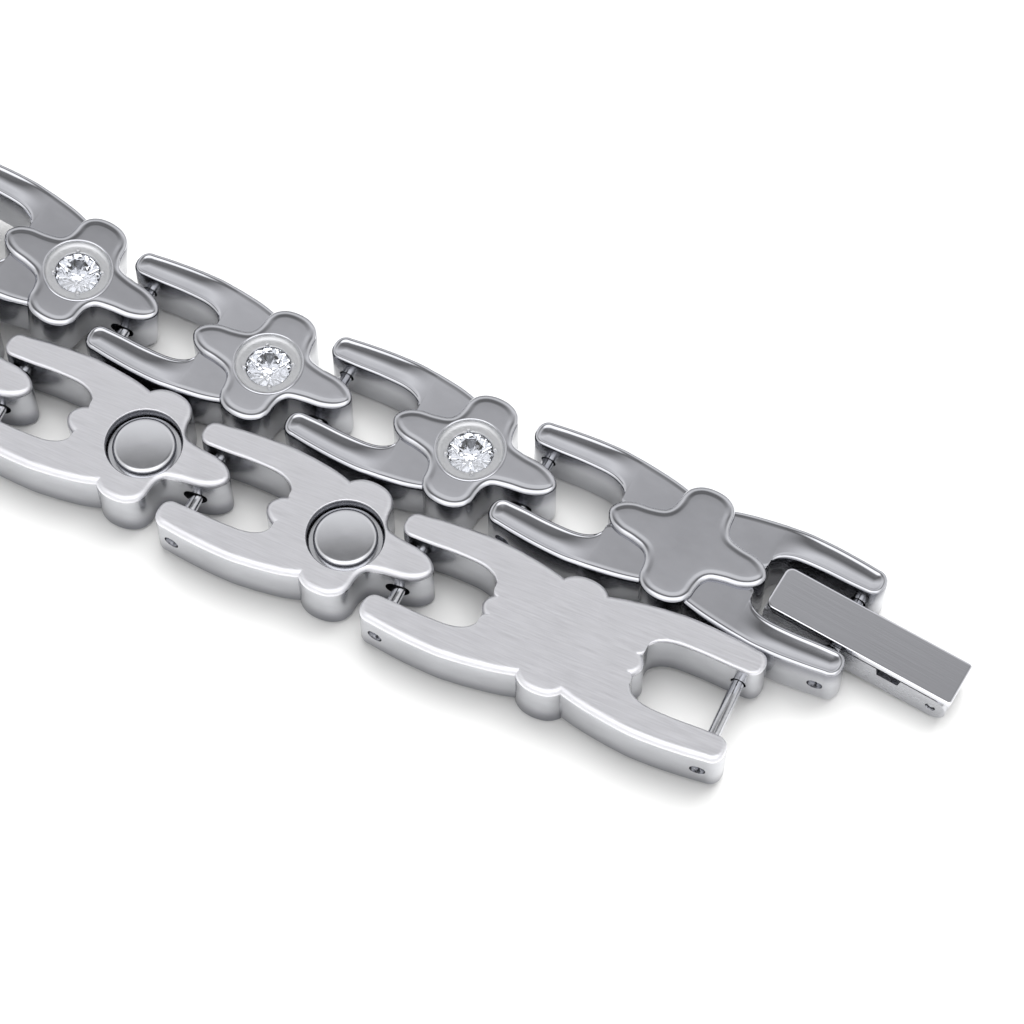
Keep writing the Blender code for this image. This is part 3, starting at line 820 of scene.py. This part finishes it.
@dataclass
class LinkForm:
    """A whole link: star, arms, pin slots and slotted tips, in the link's own frame.

    The origin is under the fork pin at the back, or under the star's middle on the middle link.
    """

    kind: LinkKind
    pitch: float = 15.0
    end_pitch: float = 22.5
    star_centre: float = 10.6
    fork_tip: float = 5.65
    pin_tip: float = 6.25
    end_tip: float = 5.6
    pin_height: float = 1.95
    end_root: float = 0.85
    slot: tuple[float, float] = (1.06, 0.94)
    slot_reach: tuple[float, float] = (1.8, 5.0)
    tunnel: tuple[float, float] = (1.62, 1.28)
    tunnel_half: float = 2.0
    tunnel_shift: float = -0.12
    front_from: float = 2.6       # height above which a face that looks up is polished
    front_look: float = 0.42
    back_to: float = 0.8          # height below which a face that looks down is satin
    back_look: float = -0.25
    cup_from: float = 2.0
    pocket_to: float = 1.6

    def star(self) -> StarBody:
        """Return the star that this kind of link carries."""
        if self.kind is LinkKind.STAR:
            return StarBody(self.fork_tip, self.pin_tip, self.star_centre, True)
        if self.kind is LinkKind.MIDDLE:
            return StarBody(self.pin_tip, self.pin_tip, 0.0, True)
        return StarBody(self.end_tip, self.end_tip, self.end_pitch / 2, False)

    def setting(self) -> Setting:
        """Return the setting turned into this link's star."""
        star = self.star()
        return Setting(star.centre, star.high - star.dish - star.bowl_at_lip * star.bowl)

    def forks(self) -> list[tuple[float, int]]:
        """Return the pin position and the arms' direction of each fork."""
        if self.kind is LinkKind.STAR:
            return [(0.0, 1)]
        if self.kind is LinkKind.MIDDLE:
            return []
        return [(0.0, 1), (self.end_pitch, -1)]

    def tunnels(self) -> list[float]:
        """Return where the wide slots run through the tips."""
        if self.kind is LinkKind.STAR:
            return [self.pitch + self.tunnel_shift]
        if self.kind is LinkKind.MIDDLE:
            reach = self.pitch - self.star_centre + self.tunnel_shift
            return [-reach, reach]
        return []

    def shape(self) -> Shape:
        """Return the link with its arms joined on, its slots cut and its lip laid round the cup."""
        near, far = self.slot_reach
        root = self.end_root if self.kind is LinkKind.END else 0.0
        joined, cut = [], []
        for pin_at, direction in self.forks():
            hole = stadium(*self.slot, (pin_at, self.pin_height))
            for side in (-1, 1):
                joined.append(ForkArm(pin_at, direction, side, root).shape())
            cut.append(prism(hole, -far, -near))
            cut.append(prism(hole, near, far))
        for pin_at in self.tunnels():
            hole = stadium(*self.tunnel, (pin_at, self.pin_height))
            cut.append(prism(hole, -self.tunnel_half, self.tunnel_half))
        star = self.star()
        if star.jewelled:
            setting = self.setting()
            cut += [setting.cup(), setting.pocket()]
            return together([combine(star.shape(), joined, cut), setting.lip(), setting.grains()])
        return combine(star.shape(), joined, cut)

    def regions(self, shape: Shape) -> np.ndarray:
        """Return the finish region of each face, from its height and the way it faces."""
        star = self.star()
        mesh = as_mesh("regions", shape)
        centre, normal = rows_of(mesh.polygons, "center"), rows_of(mesh.polygons, "normal")
        bpy.data.meshes.remove(mesh)
        look, height = normal[:, 2], centre[:, 2]
        # Walls get the tumbled finish, whose painted shade darkens them towards the front.
        region = np.full(len(centre), Region.WALL.value)
        region[(look > self.front_look) & (height > self.front_from)] = Region.FRONT.value
        region[(look < self.back_look) & (height < self.back_to)] = Region.BACK.value
        if star.jewelled:
            setting = self.setting()
            reach = np.hypot(centre[:, 0] - star.centre, centre[:, 1])
            cup = setting.cup_radius + 0.01
            region[(reach < cup) & (height > self.cup_from)] = Region.CUP.value
            # Faces in the magnet's pocket get the finish that is painted darker as shade.
            mouth = setting.pocket_radius + setting.flare_share * setting.mouth_round
            region[(reach < mouth) & (height < self.pocket_to)] = Region.POCKET.value
        return region


@dataclass
class Stone:
    """A round brilliant: table, eight star, eight kite and sixteen upper facets over a pavilion.

    Its frame has the girdle at height 0 and the table up.
    """

    radius: float = 1.50
    table_share: float = 0.56
    crown: float = 0.50
    girdle: float = 0.06
    pavilion: float = 1.15
    star_share: float = 0.76
    lower_share: float = 0.24

    def shape(self) -> Shape:
        """Return the facets, as flat faces over rings of eight and sixteen points."""
        eighth = np.arange(8) * math.pi / 4
        sixteenth = np.arange(16) * math.pi / 8

        def ring(radius: float, angle: np.ndarray, height: float) -> np.ndarray:
            """Return points on a circle."""
            return at_height(radius * on_circle(angle), height)

        half = self.girdle / 2
        star_angle = eighth + math.pi / 8
        share = (1 - self.star_share) / (1 - self.table_share * math.cos(math.pi / 8))
        star_high = half + self.crown * min(share * 1.25, 0.8)
        low_high = -half - self.pavilion * (1 - self.lower_share) * 0.97
        points = np.vstack([
            ring(self.radius * self.table_share, eighth, half + self.crown),
            ring(self.radius * self.star_share, star_angle, star_high),
            ring(self.radius, sixteenth, half),
            ring(self.radius, sixteenth, -half),
            ring(self.radius * self.lower_share, star_angle, low_high),
            [[0.0, 0.0, -half - self.pavilion]],
        ])
        # Where the rings begin: star points, upper and lower girdle, pavilion points, then the tip.
        star, top, bottom, lower, tip = 8, 16, 32, 48, 56
        faces = [list(range(8))]
        for k in range(8):
            after, before = (k + 1) % 8, (k - 1) % 8
            edge, middle, far = 2 * k, 2 * k + 1, (2 * k + 2) % 16
            faces += [[k, star + k, after], [k, star + before, top + edge, star + k],
                      [top + edge, top + middle, star + k], [top + middle, top + far, star + k],
                      [top + edge, bottom + edge, bottom + middle, top + middle],
                      [top + middle, bottom + middle, bottom + far, top + far],
                      [bottom + middle, bottom + edge, lower + k],
                      [bottom + far, bottom + middle, lower + k],
                      [bottom + edge, lower + before, tip, lower + k]]
        return Shape(points, faces)


@dataclass
class Magnet:
    """A round magnet in its pocket: a slightly domed face, a bright bevel and a collar below it."""

    radius: float = 2.12
    face: float = 0.03
    dome: float = 0.13
    bevel: float = 0.22
    collar: float = 2.46
    collar_at: float = 0.72
    seat: float = 1.22

    def shape(self) -> Shape:
        """Return the turned body, from the middle of its face out and up to its seat.

        The face rises towards its middle like a very flat dome.
        """
        edge = self.radius - self.bevel
        parts = (0.02, 0.3, 0.6, 0.8, 0.92, 1.0)
        inner = [(edge * part, self.face + self.dome * part**2) for part in parts]
        bevel = [(edge + 0.05, self.face + 0.16), (edge + 0.10, self.face + 0.20),
                 (self.radius - 0.03, self.face + 0.28), (self.radius, self.face + 0.36),
                 (self.radius, self.collar_at), (self.collar - 0.06, self.collar_at),
                 (self.collar, self.collar_at + 0.06), (self.collar, self.seat)]
        return turned(inner + bevel, 64)


@dataclass
class SplitPin:
    """A pin bent from half-round wire: two legs side by side, rounded at their ends."""

    radius: float = 0.43
    split: float = 0.035
    half: float = 4.05

    def shape(self) -> Shape:
        """Return both legs: half circles carried across the width and drawn in at both ends."""
        turn = np.linspace(-math.pi / 2, math.pi / 2, 15)
        leg = np.column_stack([self.split + (self.radius - self.split) * np.cos(turn),
                               self.radius * np.sin(turn) * 0.98])
        flat = np.column_stack([np.full(4, self.split), np.linspace(self.radius, -self.radius, 6)[1:-1]])
        outline = np.vstack([leg, flat])
        middle = np.array([self.radius * 0.45, 0.0])
        legs = []
        for sign in (1, -1):
            rings = []
            for y, share in ((-self.half, 0.70), (-self.half + 0.04, 0.88), (-self.half + 0.12, 1.0),
                             (self.half - 0.12, 1.0), (self.half - 0.04, 0.88), (self.half, 0.70)):
                ring = (middle + (outline - middle) * share) * (sign, 1.0)
                rings.append(at_width(ring, y))
            legs.append(skin(rings))
        return together(legs)


@dataclass
class Clasp:
    """The fold-over clasp: channel base, hinged cover and hinge pin.

    Its frame has x along it from the end inside the fork and z up from its underside. The cover's
    frame is the same, moved to the hinge.
    """

    long: float = 13.4
    wide: float = 3.26
    wall: float = 0.62
    floor: float = 0.40
    base_high: float = 2.30
    chamfer: float = 0.35
    hinge_radius: float = 1.15
    cover_gap: float = 0.10
    cover_thick: float = 0.48
    corner: float = 0.55
    far_corner: float = 0.22
    pin_at: tuple[float, float] = (5.00, 1.50)
    pin_hole: float = 0.62
    mouth_middle: float = 9.05
    mouth_top: float = 2.10
    mouth_bottom: float = 1.50
    mouth_depth: float = 0.72
    hinge_pin_radius: float = 0.28
    hinge_hole: float = 0.36
    tongue_wide: float = 1.40
    tongue_radius: float = 0.66
    trough_end: float = 1.1
    near_part: float = 1.5        # how far from the near end the underside's lowest place is sought
    far_part: float = 2.5         # and how far from the hinge
    level: float = 0.01           # points this close in height count as level

    def hinge_x(self) -> float:
        """Return where the hinge lies along the clasp."""
        return self.long - self.hinge_radius

    def base(self) -> Shape:
        """Return the channel: its side view carried across, then trough, mouth and holes cut out."""
        turn = np.linspace(-math.pi / 2, math.pi / 2, 21)[1:-1]
        reach = self.hinge_radius - self.cover_gap
        nose = on_circle(turn) * (reach, self.hinge_radius) + (self.hinge_x(), self.hinge_radius)
        side = np.vstack([[(0.0, self.chamfer), (self.chamfer, 0.0), (self.hinge_x(), 0.0)], nose,
                          [(self.hinge_x(), self.base_high), (0.0, self.base_high)]])
        half, above = self.wide / 2, self.base_high + 1.0
        inner = half - self.wall
        end = self.hinge_x() - self.trough_end
        trough = np.array([(self.wall, self.floor), (end, self.floor), (end, -1.0),
                           (self.long + 1.0, -1.0), (self.long + 1.0, above), (self.wall, above)])
        low = self.base_high - self.mouth_depth
        mouth = np.array([(self.mouth_middle - self.mouth_bottom / 2, low),
                          (self.mouth_middle + self.mouth_bottom / 2, low),
                          (self.mouth_middle + self.mouth_top / 2, above),
                          (self.mouth_middle - self.mouth_top / 2, above)])
        beyond = half + 1.0
        through = [mouth, circle_points(self.pin_hole, self.pin_at),
                   circle_points(self.hinge_hole, (self.hinge_x(), self.hinge_radius))]
        cut = [prism(trough, -inner, inner)]
        cut += [prism(outline, -beyond, beyond) for outline in through]
        return combine(prism(side, -half, half), (), cut)

    def cover(self) -> Shape:
        """Return the cover: rings of a plate with round corners, and a tongue round the pin."""
        low = self.base_high + self.cover_gap - self.hinge_radius
        high = low + self.cover_thick
        half = self.wide / 2
        quarter = np.linspace(0.0, math.pi / 2, 9)
        near = self.corner * on_circle(quarter + math.pi / 2)
        far = self.far_corner * on_circle(quarter)
        upper = np.vstack([
            far + (self.hinge_radius - self.far_corner, half - self.far_corner),
            np.linspace((self.hinge_radius - 1.0, half), (-self.hinge_x() + self.corner + 0.6, half), 9),
            near + (-self.hinge_x() + self.corner, half - self.corner),
        ])
        outline = np.vstack([upper, upper[::-1] * (1, -1)])
        normal = inward(outline)
        rings = [at_height(outline + normal * 0.05, low), at_height(outline, low + 0.05),
                 at_height(outline, high - 0.10), at_height(outline + normal * 0.03, high - 0.035),
                 at_height(outline + normal * 0.10, high), at_height(outline + normal * 0.16, high)]
        turn = np.linspace(math.pi, 2 * math.pi, 17)
        tongue = np.vstack([self.tongue_radius * on_circle(turn),
                            [(self.tongue_radius, low + 0.2), (-self.tongue_radius, low + 0.2)]])
        joined = [prism(tongue, -self.tongue_wide / 2, self.tongue_wide / 2)]
        cut = [prism(circle_points(self.hinge_hole, (0.0, 0.0)), -half, half)]
        return combine(skin(rings), joined, cut)

    def hinge_pin(self) -> Shape:
        """Return the small round pin, its ends a little domed."""
        circle = circle_points(self.hinge_pin_radius, (0.0, 0.0))
        half = self.wide / 2 - 0.1
        ends = ((-half, 0.7), (-half + 0.05, 1.0), (half - 0.05, 1.0), (half, 0.7))
        return skin([at_width(circle * share, y) for y, share in ends])


def node_points(name: str) -> np.ndarray:
    """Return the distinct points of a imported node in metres."""
    points = rows_of(frame["nodes"][name].data.vertices, "co")
    return np.unique(points.round(7), axis=0)


def middle_of(name: str) -> np.ndarray:
    """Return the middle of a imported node's points."""
    return node_points(name).mean(axis=0)


@dataclass
class Chain:
    """Places of all links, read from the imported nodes, and the pieces on them."""

    loop_slide: float = -0.30
    star_centre: float = LinkForm.star_centre
    end_pitch: float = LinkForm.end_pitch
    pin_height: float = LinkForm.pin_height
    stone_girdle: float = 3.72
    jewels: dict[str, int] = field(default_factory=lambda: {
        **{f"star_link_{n}": n for n in range(1, 6)}, "middle_link": 6,
        **{f"star_link_{n}": n + 1 for n in range(6, 11)}})

    def stone_axis(self, number: int) -> tuple[np.ndarray, np.ndarray]:
        """Return the middle of a stone and the direction to it from its magnet."""
        stone, magnet = middle_of(f"stone_{number}"), middle_of(f"magnet_{number}")
        return stone, unit(stone - magnet)

    def star_place(self, link: str) -> Place:
        """Return a star link's frame.

        The front points from magnet to stone, the chain's direction from the fork pin to the
        stone's axis, and the width is square to both.
        """
        stone, front = self.stone_axis(self.jewels[link])
        pin = middle_of(f"pin_{link}")
        along = square_to(stone - pin, front)
        return Place(pin - front * self.pin_height * MM, along, np.cross(front, along), front)

    def end_place(self, link: str, far_pin: str, beside: Place) -> Place:
        """Return an end link's frame, from its two pins and the front of the link beside it."""
        pin = middle_of(f"pin_{link}")
        along = unit(middle_of(far_pin) - pin)
        width = unit(np.cross(beside.front, along))
        front = np.cross(along, width)
        return Place(pin - front * self.pin_height * MM, along, width, front)

    def middle_place(self, before: Place, after: Place) -> Place:
        """Return the middle link's frame.

        Its tips lie off the middles of both forks by the slide, so its direction is the step
        between the fork pins less the slide along each fork's width.
        """
        stone, front = self.stone_axis(self.jewels["middle_link"])
        step = after.origin - before.origin + (after.front - before.front) * self.pin_height * MM
        along = square_to(step - self.loop_slide * MM * (before.width - after.width), front)
        low = ((node_points("middle_link") - stone) @ front).min()
        return Place(stone + front * low, along, np.cross(front, along), front)

    def places(self) -> dict[str, Place]:
        """Return every link's frame by the name of its node."""
        found = {name: self.star_place(name) for name in self.jewels if name != "middle_link"}
        found["middle_link"] = self.middle_place(found["star_link_5"], found["star_link_6"])
        found["end_link_clasp"] = self.end_place("end_link_clasp", "pin_clasp", found["star_link_1"])
        found["end_link_free"] = self.end_place("end_link_free", "pin_free_end", found["star_link_10"])
        return found


def add_piece(name: str, shape: Shape, place: Place, finishes: Sequence[bpy.types.Material],
              regions: np.ndarray | None = None, body: str = BODY, smooth: bool = True) -> None:
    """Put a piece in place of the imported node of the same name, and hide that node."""
    item = put(f"fine_{name}", shape, place, finishes, regions, body, smooth)
    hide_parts(name)


@dataclass
class Bracelet:
    """The whole bracelet: links, stones, magnets, pins and clasp."""

    chain: Chain = field(default_factory=Chain)
    clasp: Clasp = field(default_factory=Clasp)

    def build_links(self, places: dict[str, Place]) -> None:
        """Build each form of link once and put it wherever it occurs."""
        finishes = [steel.material() for steel in (POLISHED, TUMBLED, BELT_SATIN, FROSTED, POCKET_PAINTED_SHADE_STEEL)]
        kinds = {LinkKind.STAR: [n for n in places if n.startswith("star_link")],
                 LinkKind.MIDDLE: ["middle_link"],
                 LinkKind.END: ["end_link_clasp", "end_link_free"]}
        for kind, names in kinds.items():
            form = LinkForm(kind)
            shape = form.shape()
            regions = form.regions(shape)
            for name in names:
                add_piece(name, shape, places[name], finishes, regions)

    def build_jewels(self, places: dict[str, Place]) -> None:
        """Put a stone and a magnet into each star."""
        clear, nickel = [ClearStone().material()], [NICKEL.material()]
        stone, magnet = Stone().shape(), Magnet().shape()
        for link, number in self.chain.jewels.items():
            centre = 0.0 if link == "middle_link" else self.chain.star_centre
            at_stone = places[link].shifted(centre, 0.0, self.chain.stone_girdle)
            at_magnet = places[link].shifted(centre, 0.0, 0.0)
            add_piece(f"stone_{number}", stone, at_stone, clear, smooth=False)
            add_piece(f"magnet_{number}", magnet, at_magnet, nickel)

    def build_pins(self, places: dict[str, Place]) -> None:
        """Put a split pin through each fork."""
        wire = [WIRE.material()]
        pin = SplitPin().shape()
        for link, place in places.items():
            if link != "middle_link":
                at_pin = place.shifted(0.0, 0.0, self.chain.pin_height)
                add_piece(f"pin_{link}", pin, at_pin, wire)
        for link, name in (("end_link_clasp", "pin_clasp"), ("end_link_free", "pin_free_end")):
            far_pin = places[link].shifted(self.chain.end_pitch, 0.0, self.chain.pin_height)
            add_piece(name, pin, far_pin, wire)

    def build_clasp(self) -> None:
        """Build the clasp at its hinge, along the joint's axis and the base's underside."""
        clasp = self.clasp
        joint = frame["joints"][0]
        hinge = np.array(joint["pos_m"])
        width = unit(np.array(joint["axis"]))
        base_points = node_points("clasp_base")
        centre = base_points.mean(axis=0)
        rough = square_to(hinge - centre, width)
        pitch = self.underside_tilt(base_points, hinge, rough, width)
        along = rough * math.cos(pitch) + np.cross(width, rough) * math.sin(pitch)
        up = np.cross(along, width)
        at_hinge = Place(hinge, along, width, up)
        own = at_hinge.shifted(-clasp.hinge_x(), 0.0, -clasp.hinge_radius)
        add_piece("clasp_base", clasp.base(), own, [MILLED.material()])
        add_piece("clasp_cover", clasp.cover(), at_hinge, [COVER_STEEL.material()],
                  body=COVER_BODY)
        add_piece("clasp_hinge_pin", clasp.hinge_pin(), at_hinge, [WIRE.material()])

    def underside_tilt(self, points: np.ndarray, hinge: np.ndarray, rough: np.ndarray,
                       width: np.ndarray) -> float:
        """Return the turn about the width that lays the rough direction along the base's underside.

        The two lowest places of the underside, near the fork and near the hinge, give its slope.
        """
        up = np.cross(rough, width)
        x, z = (points - hinge) @ rough / MM, (points - hinge) @ up / MM
        at_near = x < x.min() + self.clasp.near_part
        at_far = x > -self.clasp.far_part
        near, far = z[at_near].min(), z[at_far].min()
        near_x = x[at_near & (z < near + self.clasp.level)].min()
        far_x = x[at_far & (z < far + self.clasp.level)].max()
        return -math.atan2(far - near, far_x - near_x)


@dataclass
class Studio:
    """White paper floor, soft light from a white tent, a key and the camera at the photo's angle."""

    target: tuple[float, float, float] = (22.704, 3.479, 0.054)
    distance: float = 218.2
    azimuth: float = 25.98
    elevation: float = 61.72
    focal_px: float = 3291.0
    image_px: float = 1024.0
    sensor: float = 36.0
    floor_half: float = 1500.0
    side_light: float = 0.90
    side_from: float = 0.35
    side_full: float = 0.80
    low_light: float = 0.25
    low_to: float = 0.32
    key_from: tuple[float, float, float] = (-0.10, 0.50, 0.86)
    key_strength: float = 5.0
    key_angle: float = 60.0
    stripes: tuple[tuple[float, float], ...] = (
        # place from the camera's side to the far side, brightness
        (0.00, 0.60),
        (0.06, 0.90),
        (0.14, 1.60),
        (0.35, 1.90),
        (0.455, 1.80),
        (0.535, 0.26),
        (0.63, 0.18),
        (0.737, 0.58),
        (0.83, 1.00),
        (0.94, 0.72),
        (1.00, 0.50),
    )

    def camera(self) -> None:
        """Place the camera: the focal length follows from its pixels over the image's width."""
        turn, rise = math.radians(self.azimuth), math.radians(self.elevation)
        level = math.cos(rise)
        away = Vector((math.sin(turn) * level, -math.cos(turn) * level, math.sin(rise)))
        data = bpy.data.cameras.new("camera")
        data.sensor_width = self.sensor
        data.lens = self.focal_px / self.image_px * self.sensor
        data.clip_start = 0.005
        item = add_object("camera", data)
        item.location = (Vector(self.target) + away * self.distance) * MM
        item.rotation_euler = away.to_track_quat("Z", "Y").to_euler()
        bpy.context.scene.camera = item

    def floor(self) -> None:
        """Lay a white paper floor just under the bracelet."""
        half = self.floor_half
        corners = np.array([(-half, -half, 0.0), (half, -half, 0.0),
                            (half, half, 0.0), (-half, half, 0.0)]) * MM
        mesh = bpy.data.meshes.new("floor")
        mesh.from_pydata(corners.tolist(), [], [(0, 1, 2, 3)])
        # White studio paper: matt, with hardly any gloss.
        mesh.materials.append(new_material("white studio paper", {
            "Base Color": linear("#D2D2D1"), "Roughness": 0.9, "Specular IOR Level": 0.1}))
        add_object("floor", mesh)

    def key(self) -> None:
        """Add a soft sun from the far side that lights the paper and shows in no reflection."""
        data = bpy.data.lights.new("key", "SUN")
        data.energy = self.key_strength
        data.angle = math.radians(self.key_angle)
        item = add_object("key", data)
        item.rotation_euler = Vector(self.key_from).to_track_quat("Z", "Y").to_euler()
        item.visible_glossy = False

    def tent(self) -> None:
        """Light the scene with a soft tent whose brightness runs in stripes from near to far.

        It is brightest above the camera's side, goes over into an even light towards the left and
        the right, and drops near the horizon.
        """
        world = bpy.data.worlds.new("tent")
        world.use_nodes = True
        tree = world.node_tree
        tree.nodes.clear()
        where = add_node(tree, "ShaderNodeTexCoord").outputs["Generated"]
        turn = math.radians(self.azimuth)
        far_side = (-math.sin(turn), math.cos(turn), 0.0)
        right_side = (math.cos(turn), math.sin(turn), 0.0)
        far = add_node(tree, "ShaderNodeVectorMath", {"operation": "DOT_PRODUCT", 1: far_side},
                       {0: where})
        along = add_node(tree, "ShaderNodeMapRange", {"From Min": -1.0, "From Max": 1.0},
                         {"Value": far.outputs["Value"]})
        stripes = add_node(tree, "ShaderNodeValToRGB", links={"Fac": along.outputs["Result"]})
        elements = stripes.color_ramp.elements
        elements[0].position, elements[1].position = self.stripes[0][0], self.stripes[-1][0]
        for position, _ in self.stripes[1:-1]:
            elements.new(position)
        for element, (_, bright) in zip(elements, self.stripes):
            element.color = (bright, bright, bright * 1.01, 1.0)
        across = add_node(tree, "ShaderNodeVectorMath", {"operation": "DOT_PRODUCT", 1: right_side},
                          {0: where})
        reach = add_node(tree, "ShaderNodeMath", {"operation": "ABSOLUTE"}, {0: across.outputs["Value"]})
        side = add_node(tree, "ShaderNodeMapRange",
                        {"interpolation_type": "SMOOTHSTEP", "From Min": self.side_from,
                         "From Max": self.side_full}, {"Value": reach.outputs["Value"]})
        bright = (self.side_light, self.side_light, self.side_light, 1.0)
        mixed = add_node(tree, "ShaderNodeMix", {"data_type": "RGBA", 7: bright},
                         {0: side.outputs["Result"], 6: stripes.outputs["Color"]})
        height = add_node(tree, "ShaderNodeSeparateXYZ", links={"Vector": where})
        low = add_node(tree, "ShaderNodeMapRange",
                       {"interpolation_type": "SMOOTHSTEP", "From Min": 0.0, "From Max": self.low_to,
                        "To Min": self.low_light, "To Max": 1.0}, {"Value": height.outputs["Z"]})
        light = add_node(tree, "ShaderNodeBackground",
                         links={"Color": mixed.outputs[2], "Strength": low.outputs["Result"]})
        add_node(tree, "ShaderNodeOutputWorld", links={"Surface": light.outputs["Background"]})
        bpy.context.scene.world = world

    def build(self) -> None:
        """Set up camera, floor and light, with the plain view transform."""
        self.camera()
        self.floor()
        self.key()
        self.tent()
        bpy.context.scene.view_settings.view_transform = "Standard"


def main() -> None:
    """Build the studio and the bracelet, and report each piece."""
    logging.basicConfig(level=logging.INFO, format="%(message)s")
    Studio().build()
    bracelet = Bracelet()
    places = bracelet.chain.places()
    bracelet.build_links(places)
    bracelet.build_jewels(places)
    bracelet.build_pins(places)
    bracelet.build_clasp()


if __name__ == "__main__":
    main()
